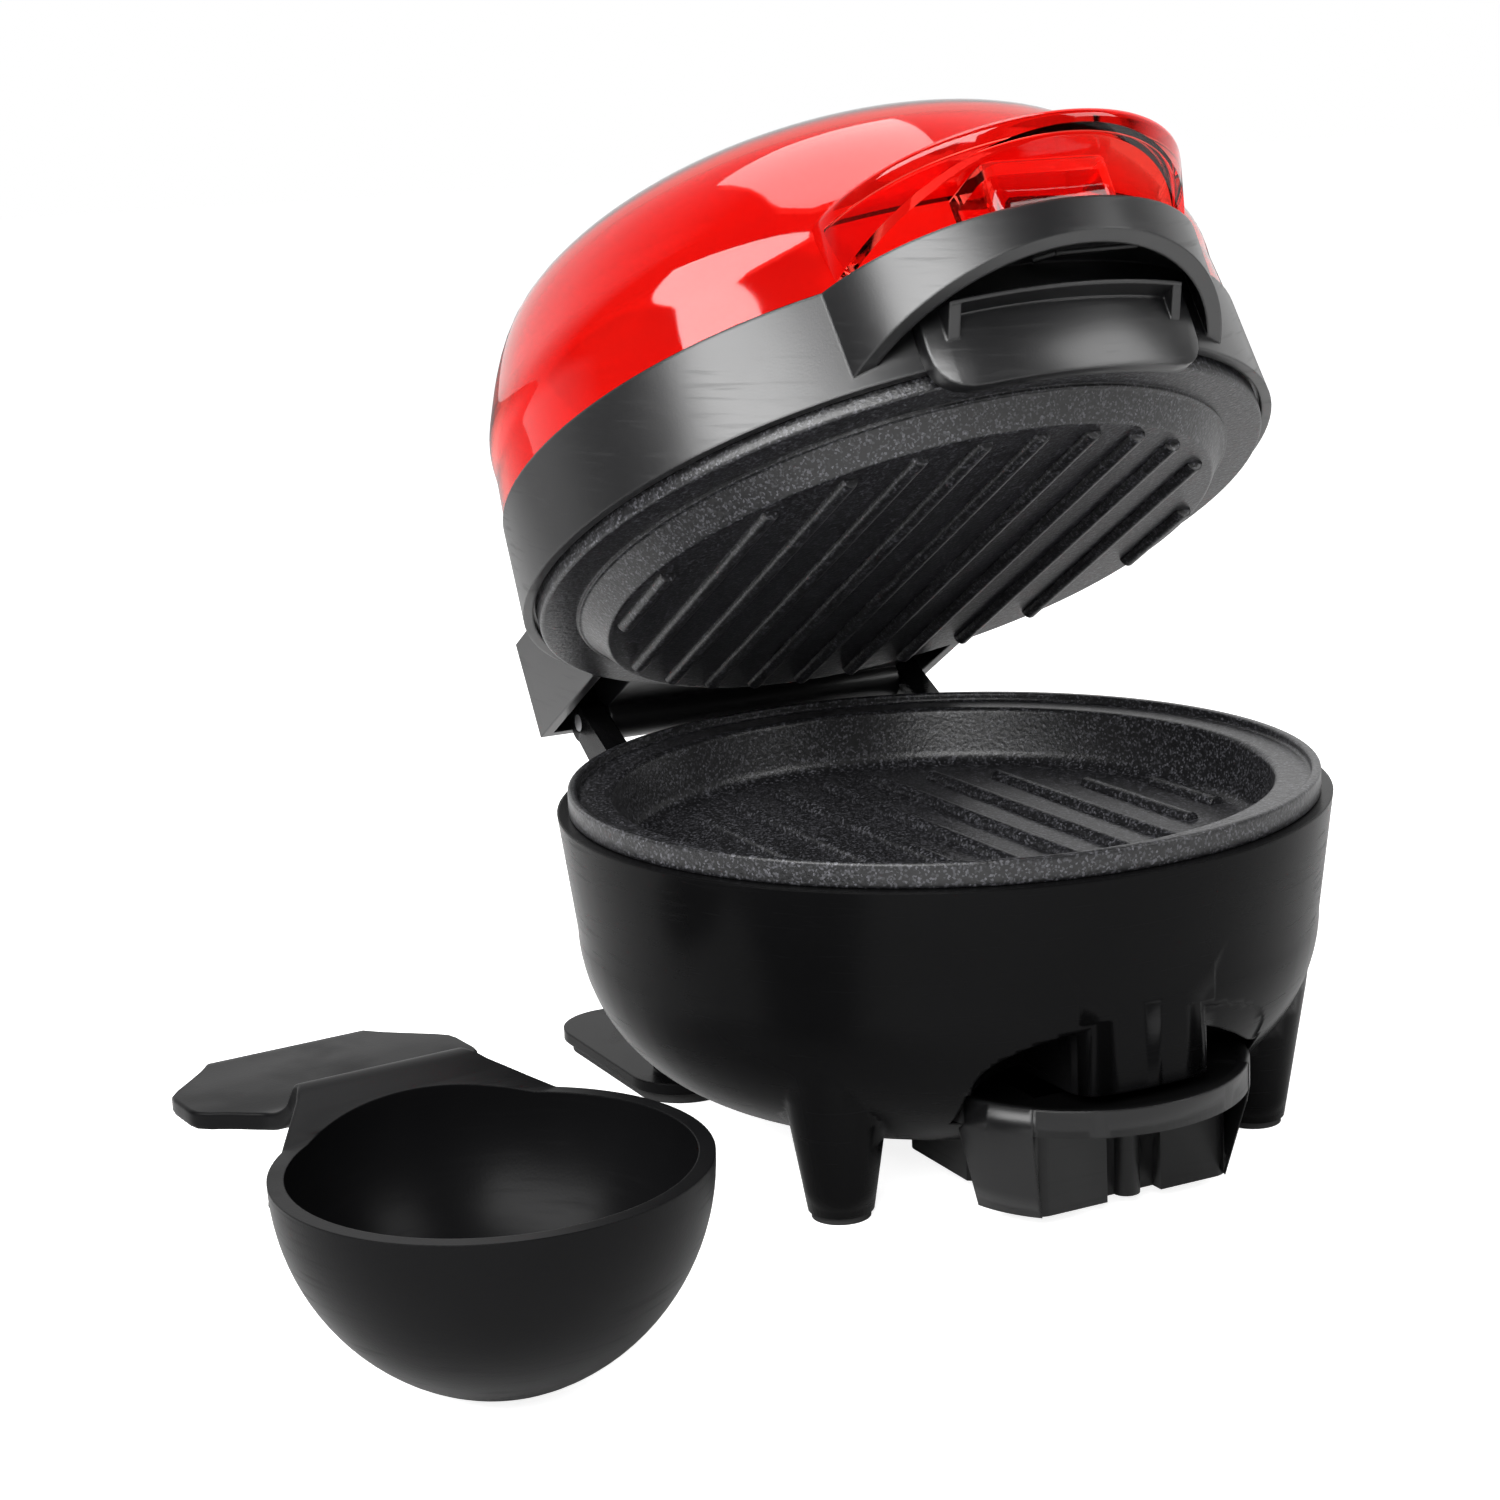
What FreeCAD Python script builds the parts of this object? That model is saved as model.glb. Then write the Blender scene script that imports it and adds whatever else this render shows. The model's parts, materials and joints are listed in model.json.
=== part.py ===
import FreeCAD, Part
import math
import os
import types

import Sketcher
from FreeCAD import Placement, Rotation, Vector

# A small round contact grill: a bowl-shaped base on four legs, two ribbed plates, a lid that swings
# on a rear hinge and carries a see-through warming cover, a drip tray, and a loose grease cup.
# Origin: on the bowl's axis, at the surface the feet stand on. +Z is up and the front faces -Y.
# Lengths are millimetres, angles degrees. Lid pieces are drawn closed, then swung open together.

SIZES = {
    # Clearances
    "overrun": 6.0,
    "seat_gap": 0.3,
    "pin_play": 0.06,
    "hole_play": 0.1,
    # Lower plate
    "rim_height": 77.0,
    "plate_radius": 80.0,
    "plate_band": 5.0,
    "lip_width": 2.0,
    "ledge_width": 7.5,
    "ledge_drop": 2.0,
    "well_depth": 15.0,
    "well_draft": 2.5,
    "plate_wall": 4.0,
    "rib_pitch": 12.46,
    "rib_radius": 1.8,
    "lower_rib_margin": 14.0,
    "upper_rib_margin": 3.3,
    # Drain spout under the lower plate
    "spout_inset": 7.0,
    "spout_radius": 5.0,
    "spout_bore_radius": 3.5,
    "spout_drop": 2.5,
    "spout_play": 0.6,
    # Base bowl
    "bowl_lap": 2.5,
    "waist_inset": 3.0,
    "waist_height": 47.0,
    "bowl_clearance": 11.0,
    "bowl_wall": 3.0,
    "bowl_lip": 3.0,
    "boss_radius": 15.2,
    "boss_offset": 3.5,
    "boss_height": 17.0,
    # Front legs and pads
    "leg_x": 50.0,
    "leg_y": 42.0,
    "leg_foot_radius": 6.7,
    "leg_top_radius": 12.3,
    "leg_top": 36.0,
    "pad_thickness": 1.5,
    "pad_inset": 0.7,
    # Rear legs with their foot tongues
    "rear_leg_x": 43.0,
    "rear_leg_y": 46.0,
    "tongue_radius": 13.0,
    "tongue_reach": 37.0,
    "tongue_thickness": 2.5,
    "rear_pad_thickness": 2.7,
    "rear_pad_inset": 2.0,
    # Drip tray and its dock
    "tray_radius": 34.0,
    "tray_nose_setback": 19.4,
    "tray_back": 21.0,
    "tray_top": 27.0,
    "flange_thickness": 5.5,
    "tray_clearance": 3.0,
    "tray_box_half": 23.5,
    "tray_box_inset": 7.5,
    "tray_box_round": 4.0,
    "tray_side_wall": 4.0,
    "tray_front_wall": 5.0,
    "tray_floor": 2.0,
    "tray_play": 0.7,
    "tray_rim": 2.2,
    "tray_rim_depth": 1.2,
    "thumb_recess_half": 6.3,
    "thumb_recess_depth": 3.0,
    "thumb_pillar_radius": 2.8,
    "side_notch_radius": 6.0,
    "side_notch_depth": 2.0,
    "side_notch_y": 51.0,
    "dock_headroom": 2.0,
    "dock_wall": 2.5,
    "scoop_half_width": 36.0,
    "scoop_depth": 20.0,
    "scoop_height": 14.0,
    "scoop_inset": 5.5,
    # Hinge
    "hinge_offset": 12.0,
    "hinge_pin_radius": 2.0,
    "barrel_radius": 5.0,
    "barrel_half": 38.5,
    "ear_gap": 0.5,
    "ear_width": 6.0,
    "ear_radius": 4.5,
    "ear_root_inset": 18.0,
    "ear_root_height": 14.0,
    "ear_root_drop": 6.0,
    "lid_open_angle": 31.0,
    # Upper plate
    "plate_gap": 0.5,
    "upper_band": 4.5,
    "upper_flange": 8.0,
    "plateau_rise": 6.3,
    "plateau_slope": 5.0,
    # Lid ring
    "ring_lap": 3.0,
    "ring_draft": 1.0,
    "ring_lift": 3.5,
    "ring_height": 21.5,
    "ring_gap": 0.8,
    "ring_wall": 2.8,
    "ring_lip": 3.0,
    "ring_lip_width": 6.0,
    "deck_ledge_drop": 5.0,
    "deck_ledge_width": 3.0,
    "deck_ledge_depth": 2.0,
    # Beak-shaped handle at the front of the ring
    "beak_radius": 44.0,
    "beak_centre_inset": 24.0,
    "beak_wall": 3.2,
    "beak_roof": 3.0,
    "beak_root_inset": 16.0,
    "beak_root_lift": 4.0,
    "beak_front_lift": 18.0,
    # Grip panel with its finger blade
    "grip_half": 30.0,
    "grip_thickness": 3.3,
    "grip_drop": 3.0,
    "grip_height": 17.0,
    "blade_half": 26.0,
    "blade_reach": 8.0,
    "blade_thickness": 3.0,
    "blade_cheek": 2.0,
    "blade_cheek_drop": 7.0,
    "grip_corner": 6.0,
    # Hinge housing at the rear of the ring
    "housing_side_room": 3.5,
    "housing_wall": 2.5,
    "housing_lift": 1.0,
    "housing_room": 7.5,
    "web_lift": 1.5,
    "web_height": 7.5,
    # Warming cover
    "cover_inset": 0.5,
    "cover_draft": 1.9,
    "cover_shoulder_height": 20.7,
    "cover_crown_inset": 31.5,
    "cover_crown_height": 50.1,
    "cover_height": 55.7,
    "cover_shoulder_arc": 35.3,
    "cover_wall": 2.5,
    "hood_radius": 40.0,
    "hood_inset": 19.5,
    "hood_height": 15.2,
    "hood_lean": 7.0,
    "mouth_inset": 13.7,
    "visor_lip": 2.6,
    "lift_block_half": 14.3,
    "lift_block_reach": 12.5,
    "cover_pin_offset": 6.0,
    "cover_pin_height": 4.0,
    "cover_pin_radius": 1.2,
    "cover_barrel_radius": 3.0,
    "cover_barrel_half": 9.5,
    "cover_ear_radius": 3.2,
    "cover_ear_width": 4.0,
    # Warming deck
    "deck_thickness": 1.2,
    "deck_rim": 3.0,
    "deck_play": 0.2,
    # Heating parts
    "element_radius": 38.0,
    "element_tube": 3.2,
    "element_sweep": 342.0,
    "pin_half": 6.0,
    "terminal_pin_radius": 1.5,
    "terminal_pin_length": 10.0,
    "shield_inset": 12.0,
    "shield_thickness": 1.2,
    "shield_drop": 10.8,
    "shield_hole_radius": 3.5,
    "lid_shield_inset": 6.0,
    "lid_shield_rise": 12.8,
    "post_circle": 24.0,
    "post_radius": 4.0,
    "bolt_radius": 2.0,
    "bolt_head_radius": 3.6,
    "bolt_head_height": 2.0,
    "bolt_reach": 8.0,
    "thermostat_radius": 8.0,
    "thermostat_height": 9.5,
    "cutout_radius": 7.0,
    "cutout_height": 8.0,
    "fuse_radius": 2.0,
    "fuse_length": 14.0,
    "fuse_y": 24.0,
    # Bottom cover, terminals and cord gland
    "service_y": 8.0,
    "service_radius": 19.5,
    "bottom_cover_radius": 24.0,
    "bottom_cover_thickness": 2.5,
    "screw_radius": 1.4,
    "screw_head_radius": 2.8,
    "screw_head_height": 1.8,
    "block_half_x": 11.0,
    "block_depth": 11.0,
    "block_front_y": 29.5,
    "block_height": 12.0,
    "lead_radius": 1.3,
    "gland_height": 40.0,
    "gland_radius": 5.0,
    "gland_flange_radius": 7.5,
    "gland_flange_thickness": 2.5,
    "gland_length": 8.0,
    "gland_bore_radius": 3.0,
    # Lid screws
    "lid_screw_inset": 3.8,
    "lid_screw_reach": 5.5,
    # Grease cup
    "cup_x": -137.0,
    "cup_y": -79.0,
    "cup_turn": 5.0,
    "cup_radius": 39.0,
    "cup_depth": 41.0,
    "cup_foot_radius": 8.0,
    "cup_wall": 3.0,
    "cup_ramp_half": 35.0,
    "cup_ramp_start": 17.0,
    "cup_ridge_y": 44.0,
    "cup_ridge_rise": 5.5,
    "cup_neck_half": 17.0,
    "cup_neck_length": 8.0,
    "cup_tab_half": 30.0,
    "cup_tab_length": 40.0,
    "cup_tab_drop": 3.0,
    "cup_tab_corner": 14.0,
}
RIB_COUNT = 11
RIDGE_SHARE = 1.3
SCREW_ANGLES = (90.0, 210.0, 330.0)
POST_ANGLES = (30.0, 150.0, 270.0)
REAR_ANGLE = 90.0

doc = FreeCAD.newDocument("contact_grill")
sheet = doc.addObject("Spreadsheet::Sheet", "Sizes")


class Formula:
    """A number together with the sheet expression that yields it."""

    def __init__(self, value, text):
        self.value = value
        self.text = text

    def __add__(self, other):
        return Formula(self.value + number(other), f"({self.text} + {text(other)})")

    def __radd__(self, other):
        return self + other

    def __sub__(self, other):
        return Formula(self.value - number(other), f"({self.text} - {text(other)})")

    def __rsub__(self, other):
        return Formula(number(other) - self.value, f"({text(other)} - {self.text})")

    def __mul__(self, other):
        return Formula(self.value * number(other), f"({self.text} * {text(other)})")

    def __rmul__(self, other):
        return self * other

    def __truediv__(self, other):
        return Formula(self.value / number(other), f"({self.text} / {text(other)})")

    def __neg__(self):
        return Formula(-self.value, f"(-{self.text})")


def number(item):
    return item.value if isinstance(item, Formula) else item


def text(item):
    return item.text if isinstance(item, Formula) else repr(item)


def cosine(angle):
    return Formula(math.cos(math.radians(number(angle))), f"cos({text(angle)} * 1deg)")


def sine(angle):
    return Formula(math.sin(math.radians(number(angle))), f"sin({text(angle)} * 1deg)")


def root(item):
    return Formula(math.sqrt(number(item)), f"sqrt({text(item)})")


def larger(first, second):
    return Formula(max(number(first), number(second)), f"max({text(first)}; {text(second)})")


def fill_sheet():
    """Write every size into the sheet and return them as formulas."""
    formulas = {}
    for row, (name, value) in enumerate(SIZES.items(), start=1):
        sheet.set(f"A{row}", name)
        sheet.set(f"B{row}", str(value))
        sheet.setAlias(f"B{row}", name)
        formulas[name] = Formula(value, f"Sizes.{name}")
    doc.recompute()
    return types.SimpleNamespace(**formulas)


S = fill_sheet()
nodes = []


def bind(item, prop, formula):
    item.setExpression(prop, text(formula))


def place(item, x, y, z):
    for axis, formula in zip("xyz", (x, y, z)):
        bind(item, f"Placement.Base.{axis}", formula)
    return item


def node(item, name):
    """Mark a finished shape as a sub-part under its own name."""
    item.Label = name
    nodes.append(item)
    return item


def box(name, x_range, y_range, z_range):
    item = doc.addObject("Part::Box", name)
    bind(item, "Length", x_range[1] - x_range[0])
    bind(item, "Width", y_range[1] - y_range[0])
    bind(item, "Height", z_range[1] - z_range[0])
    return place(item, x_range[0], y_range[0], z_range[0])


TURNS = {
    "X": Rotation(Vector(0, 1, 0), 90),
    "Y": Rotation(Vector(1, 0, 0), -90),
    "Z": Rotation(),
}


def cylinder(name, radius, start, length, along="Z"):
    item = doc.addObject("Part::Cylinder", name)
    item.Placement = Placement(Vector(), TURNS[along])
    bind(item, "Radius", radius)
    bind(item, "Height", length)
    return place(item, *start)


def cone(name, bottom_radius, top_radius, start, height):
    item = doc.addObject("Part::Cone", name)
    bind(item, "Radius1", bottom_radius)
    bind(item, "Radius2", top_radius)
    bind(item, "Height", height)
    return place(item, *start)


def leaning(name, radius, start, height, lean):
    """A cylinder of level rounds whose top is carried forward."""
    ring = place(doc.addObject("Part::Circle", f"{name}_foot"), *start)
    bind(ring, "Radius", radius)
    item = doc.addObject("Part::Extrusion", name)
    item.Base = ring
    item.DirMode = "Custom"
    item.Dir = Vector(0, -number(lean), number(height))
    bind(item, "Dir.y", -lean)
    bind(item, "Dir.z", height)
    item.Solid = True
    return item


def half_ellipsoid(name, centre, x_radius, y_radius, z_radius):
    item = doc.addObject("Part::Ellipsoid", name)
    item.Angle1 = 0
    bind(item, "Radius1", z_radius)
    bind(item, "Radius2", x_radius)
    bind(item, "Radius3", y_radius)
    return place(item, *centre)


def fuse(name, pieces):
    item = doc.addObject("Part::MultiFuse", name)
    item.Shapes = pieces
    return item


def cut(name, base, tools):
    """Take each tool away from the base in turn."""
    item = base
    for index, tool in enumerate(tools):
        step = doc.addObject("Part::Cut", f"{name}_{index}")
        step.Base = item
        step.Tool = tool
        item = step
    return item


def common(name, first, second):
    item = doc.addObject("Part::MultiCommon", name)
    item.Shapes = [first, second]
    return item


def arc_through(start, end, radius):
    """The shorter arc from start to end that bends to the left of its travel."""
    chord = end - start
    middle = (start + end) * 0.5
    left = Vector(-chord.y, chord.x, 0).normalize()
    half = chord.Length * 0.5
    sagitta = radius - math.sqrt(max(radius * radius - half * half, 0))
    return Part.Arc(start, middle - left * sagitta, end)


def outline_sketch(body, role, points, arcs, crown=None):
    """A closed sketch whose corners sit at formulas; arcs maps a corner to its arc's radius.

    The crown is the arc whose centre is held on the upright axis instead of by its radius.
    """
    sketch = body.newObject("Sketcher::SketchObject", f"{body.Name}_outline")
    plane = next(feature for feature in body.Origin.OriginFeatures if feature.Role == role)
    sketch.AttachmentSupport = [(plane, "")]
    sketch.MapMode = "FlatFace"
    corners = [Vector(number(x), number(y), 0) for x, y in points]
    count = len(points)
    for index in range(count):
        start, end = corners[index], corners[(index + 1) % count]
        if index in arcs:
            sketch.addGeometry(arc_through(start, end, number(arcs[index])))
        else:
            sketch.addGeometry(Part.LineSegment(start, end))
    for index in range(count):
        sketch.addConstraint(Sketcher.Constraint("Coincident", index, 2, (index + 1) % count, 1))
    for index, (x, y) in enumerate(points):
        for kind, axis, formula in (("DistanceX", -2, x), ("DistanceY", -1, y)):
            if number(formula) == 0:
                sketch.addConstraint(Sketcher.Constraint("PointOnObject", index, 1, axis))
                continue
            rule = Sketcher.Constraint(kind, -1, 1, index, 1, number(formula))
            bind(sketch, f"Constraints[{sketch.addConstraint(rule)}]", formula)
    for index, radius in arcs.items():
        if index == crown:
            sketch.addConstraint(Sketcher.Constraint("PointOnObject", index, 3, -2))
            continue
        rule = Sketcher.Constraint("Radius", index, number(radius))
        bind(sketch, f"Constraints[{sketch.addConstraint(rule)}]", radius)
    return sketch


def turned(name, points, arcs=None, crown=None):
    """A body of revolution about Z from an outline of (radius, height) corners."""
    body = doc.addObject("PartDesign::Body", name)
    sketch = outline_sketch(body, "XZ_Plane", points, arcs or {}, crown)
    turn = body.newObject("PartDesign::Revolution", f"{name}_turn")
    turn.Profile = sketch
    turn.ReferenceAxis = (sketch, ["V_Axis"])
    turn.Angle = 360
    return body


def prism(name, role, points, length, start, arcs=None):
    """A pad of an outline on an origin plane, moved to its start."""
    body = doc.addObject("PartDesign::Body", name)
    sketch = outline_sketch(body, role, points, arcs or {})
    pad = body.newObject("PartDesign::Pad", f"{name}_pad")
    pad.Profile = sketch
    bind(pad, "Length", length)
    return place(body, *start)


def rounded_box(name, x_range, y_range, z_range, corner):
    """A box whose four upright edges are rounded."""
    (left, right), (front, back) = x_range, y_range
    points = [
        (left + corner, front),
        (right - corner, front),
        (right, front + corner),
        (right, back - corner),
        (right - corner, back),
        (left + corner, back),
        (left, back - corner),
        (left, front + corner),
    ]
    arcs = {index: corner for index in range(1, len(points), 2)}
    return prism(name, "XY_Plane", points, z_range[1] - z_range[0], (0, 0, z_range[0]), arcs)


def swing(item):
    """Turn a lid piece, drawn closed, about the hinge to the angle at which the lid rests."""
    item.Placement = Placement(Vector(), Rotation(Vector(-1, 0, 0), number(S.lid_open_angle)))
    bind(item, "Placement.Rotation.Angle", S.lid_open_angle)
    turned_y = hinge_y * cosine(S.lid_open_angle) + S.rim_height * sine(S.lid_open_angle)
    turned_z = S.rim_height * cosine(S.lid_open_angle) - hinge_y * sine(S.lid_open_angle)
    bind(item, "Placement.Base.y", hinge_y - turned_y)
    bind(item, "Placement.Base.z", S.rim_height - turned_z)
    return item


def around(radius, angle):
    """Place on a circle about the bowl's axis."""
    return radius * math.cos(math.radians(angle)), radius * math.sin(math.radians(angle))


# Radii and distances from the axis that follow the plates
bowl_radius = S.plate_radius + S.bowl_lap
waist_radius = bowl_radius - S.waist_inset
ring_foot_radius = S.plate_radius + S.ring_lap
ring_top_radius = ring_foot_radius - S.ring_draft
plateau_radius = S.plate_radius - S.upper_flange - S.plateau_slope
upper_rib_field = plateau_radius - S.upper_rib_margin
lip_inner = S.plate_radius - S.ring_lip_width
lid_shield_radius = lip_inner - S.lid_shield_inset
lid_screw_circle = S.plate_radius - S.lid_screw_inset
hinge_y = S.plate_radius + S.hinge_offset
ear_root_y = S.plate_radius - S.ear_root_inset
cover_radius = ring_top_radius - S.cover_inset
cover_shoulder_radius = cover_radius - S.cover_draft
cover_crown_radius = cover_radius - S.cover_crown_inset
cover_pin_y = ring_top_radius + S.cover_pin_offset
beak_centre = ring_top_radius - S.beak_centre_inset
beak_root_y = ring_top_radius - S.beak_root_inset
hood_centre = cover_radius - S.hood_inset
mouth_root_y = cover_radius - S.mouth_inset
lift_block_front = cover_radius + S.lift_block_reach
blade_radius = ring_foot_radius + S.blade_reach
scoop_y = waist_radius - S.scoop_inset
tray_box_front = waist_radius - S.tray_box_inset
tray_centre = tray_box_front - S.tray_nose_setback

# Levels shared by several pieces
bowl_top = S.rim_height - S.plate_band
well_floor = S.rim_height - S.well_depth
well_under = well_floor - S.plate_wall
well_top_radius = S.plate_radius - S.lip_width - S.ledge_width
well_floor_radius = well_top_radius - S.well_draft
well_outer_radius = well_top_radius + S.plate_wall
lower_rib_field = well_floor_radius - S.lower_rib_margin
shield_radius = well_floor_radius - S.shield_inset
spout_reach = well_floor_radius - S.spout_inset
boss_reach = spout_reach + S.boss_offset
inner_floor = S.bowl_clearance + S.bowl_wall
shield_top = well_under - S.shield_drop
shield_bottom = shield_top - S.shield_thickness
dock_roof = S.tray_top + S.dock_headroom
flange_bottom = S.tray_top - S.flange_thickness
spout_end = S.tray_top + S.spout_drop
boss_bottom = S.tray_top + S.dock_headroom / 2
dock_back = -S.tray_back + S.tray_play
dock_half = S.tray_radius + S.seat_gap
throat_half = S.tray_box_half + S.tray_play
rail_top = flange_bottom - S.seat_gap
face_level = S.rim_height + S.plate_gap
plate_back = face_level + S.upper_band
plateau_level = face_level - S.plateau_rise
plateau_back = plateau_level + S.plate_wall
ring_bottom = S.rim_height + S.ring_lift
ring_top = ring_bottom + S.ring_height
lip_top = plate_back + S.ring_lip
ring_inner = ring_top_radius - S.ring_wall
deck_level = ring_top - S.deck_ledge_drop
lid_shield_level = plateau_back + S.lid_shield_rise
cover_base = ring_top + S.seat_gap
cover_pin_level = ring_top + S.cover_pin_height
ear_inner = S.barrel_half + S.ear_gap
ear_outer = ear_inner + S.ear_width
housing_half = ear_outer + S.housing_side_room + S.housing_wall


def ribs(name, level, field_radius):
    """Half-round ribs that run from front to back and end on a round field."""
    bars = []
    for index in range(RIB_COUNT):
        across = S.rib_pitch * (index - (RIB_COUNT - 1) / 2)
        half_squared = field_radius * field_radius - across * across
        half = root(larger(half_squared, S.rib_pitch * S.rib_pitch))
        bars.append(cylinder(f"{name}_rib_{index}", S.rib_radius, (across, -half, level), half * 2, "Y"))
    return bars


def posts(name, bottom, height):
    return [
        cylinder(f"{name}_{index}", S.post_radius, (*around(S.post_circle, angle), bottom), height)
        for index, angle in enumerate(POST_ANGLES)
    ]


def bolt(name, x, y, seat, shank_radius, head_radius, head_height, reach, up):
    """A headed fastener that goes up, or down, from the face its head sits on."""
    if up:
        head = cylinder(f"{name}_head", head_radius, (x, y, seat - head_height), head_height)
        shank = cylinder(f"{name}_shank", shank_radius, (x, y, seat), reach)
    else:
        head = cylinder(f"{name}_head", head_radius, (x, y, seat), head_height)
        shank = cylinder(f"{name}_shank", shank_radius, (x, y, seat - reach), reach)
    return fuse(f"{name}_body", [head, shank])


def make_lower_plate():
    dish = turned(
        "lower_dish",
        [
            (0, well_under),
            (well_floor_radius + S.plate_wall, well_under),
            (well_outer_radius, bowl_top),
            (S.plate_radius, bowl_top),
            (S.plate_radius, S.rim_height),
            (S.plate_radius - S.lip_width, S.rim_height),
            (S.plate_radius - S.lip_width, S.rim_height - S.ledge_drop),
            (well_top_radius, S.rim_height - S.ledge_drop),
            (well_floor_radius, well_floor),
            (0, well_floor),
        ],
    )
    spout_start = (0, -spout_reach, spout_end)
    spout = cylinder("spout", S.spout_radius, spout_start, well_under + S.plate_wall / 2 - spout_end)
    drain_start = (0, -spout_reach, spout_end - S.overrun)
    drain_length = well_floor - spout_end + S.overrun * 2
    drain = cylinder("drain", S.spout_bore_radius, drain_start, drain_length)
    standing = posts("lower_post", shield_top, S.shield_drop + S.plate_wall / 2)
    solid = fuse("lower_solid", [dish, *ribs("lower", well_floor, lower_rib_field), spout, *standing])
    holes = [drain]
    for index, angle in enumerate(POST_ANGLES):
        start = (*around(S.post_circle, angle), shield_top - S.overrun)
        depth = S.overrun + S.bolt_reach
        hole = cylinder(f"lower_hole_{index}", S.bolt_radius + S.hole_play, start, depth)
        holes.append(hole)
    node(cut("lower_plate", solid, holes), "lower_grill_plate")


def bowl_outline(wall, lip_radius):
    """Corners of the bowl's outside, or of its inside where a wall is given."""
    corner = S.waist_height - S.bowl_clearance
    flat = waist_radius - corner
    bottom = [
        (0, S.bowl_clearance + wall),
        (flat, S.bowl_clearance + wall),
        (waist_radius - wall, S.waist_height),
    ]
    if lip_radius is None:
        top = [(bowl_radius - wall, bowl_top), (0, bowl_top)]
    else:
        lip_under = bowl_top - S.bowl_lip
        top = [
            (bowl_radius - wall, lip_under),
            (lip_radius, lip_under),
            (lip_radius, bowl_top + S.overrun),
            (0, bowl_top + S.overrun),
        ]
    return bottom + top, {1: corner - wall}


def make_leg(name, x, y, bottom):
    return cone(name, S.leg_foot_radius, S.leg_top_radius, (x, y, bottom), S.leg_top - bottom)


def make_tongue(name, x, radius, bottom, thickness):
    """The rounded plate that carries a rear leg and reaches back behind the bowl."""
    end_y = S.rear_leg_y + S.tongue_reach
    root_end = cylinder(f"{name}_root", radius, (x, S.rear_leg_y, bottom), thickness)
    tip = cylinder(f"{name}_tip", radius, (x, end_y, bottom), thickness)
    x_range = (x - radius, x + radius)
    bar = box(f"{name}_bar", x_range, (S.rear_leg_y, end_y), (bottom, bottom + thickness))
    return fuse(f"{name}_tongue", [root_end, tip, bar])


def make_ear(name, side):
    """A hinge ear: an eye about the hinge axis and an arm that runs forward into the bowl's wall."""
    start_x = ear_inner if side > 0 else -ear_outer
    eye_start = (start_x, hinge_y, S.rim_height)
    eye = cylinder(f"{name}_eye", S.ear_radius, eye_start, S.ear_width, "X")
    root_top = bowl_top - S.ear_root_drop
    arm = prism(
        f"{name}_arm",
        "YZ_Plane",
        [
            (hinge_y, S.rim_height + S.ear_radius),
            (ear_root_y, root_top),
            (ear_root_y, root_top - S.ear_root_height),
            (hinge_y, S.rim_height - S.ear_radius),
        ],
        S.ear_width,
        (start_x, 0, 0),
    )
    return [eye, arm]


def dock_ways():
    """The ways in the bowl's front that the drip tray slides and is grasped through."""
    y_range = (-bowl_radius - S.overrun, dock_back)
    flange_x = (-dock_half, dock_half)
    throat_x = (-throat_half, throat_half)
    flange_way = box("flange_way", flange_x, y_range, (rail_top, dock_roof))
    throat_way = box("throat_way", throat_x, y_range, (-S.overrun, dock_roof))
    return [flange_way, throat_way, make_scoop("scoop", 0)]


def make_scoop(name, wall):
    """The rounded hollow over the tray's front, or its outside where a wall is given."""
    return half_ellipsoid(
        name,
        (0, -scoop_y, dock_roof),
        S.scoop_half_width + wall,
        S.scoop_depth + wall,
        S.scoop_height + wall,
    )


def make_dock(ways):
    """The insert in the bowl's front that carries the tray's flange and takes the drain spout."""
    y_range = (-bowl_radius, dock_back + S.dock_wall)
    upper_half = dock_half + S.dock_wall
    lower_half = throat_half + S.dock_wall
    upper_z = (rail_top - S.dock_wall, dock_roof + S.dock_wall)
    upper = box("dock_upper", (-upper_half, upper_half), y_range, upper_z)
    lower = box("dock_lower", (-lower_half, lower_half), y_range, (S.bowl_clearance, rail_top))
    block = fuse("dock_block", [upper, lower, make_scoop("scoop_liner", S.dock_wall)])
    bounds = turned("dock_bounds", *bowl_outline(S.bowl_wall + S.seat_gap, None))
    liner = cut("dock_liner", common("dock_bounded", block, bounds), ways)
    boss = cylinder("boss", S.boss_radius, (0, -boss_reach, boss_bottom), S.boss_height)
    bore_start = (0, -spout_reach, boss_bottom - S.overrun)
    bore_length = S.boss_height + S.overrun * 2
    bore = cylinder("spout_way", S.spout_radius + S.spout_play, bore_start, bore_length)
    node(cut("dock", fuse("dock_bossed", [liner, boss]), [bore]), "tray_dock")


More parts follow.
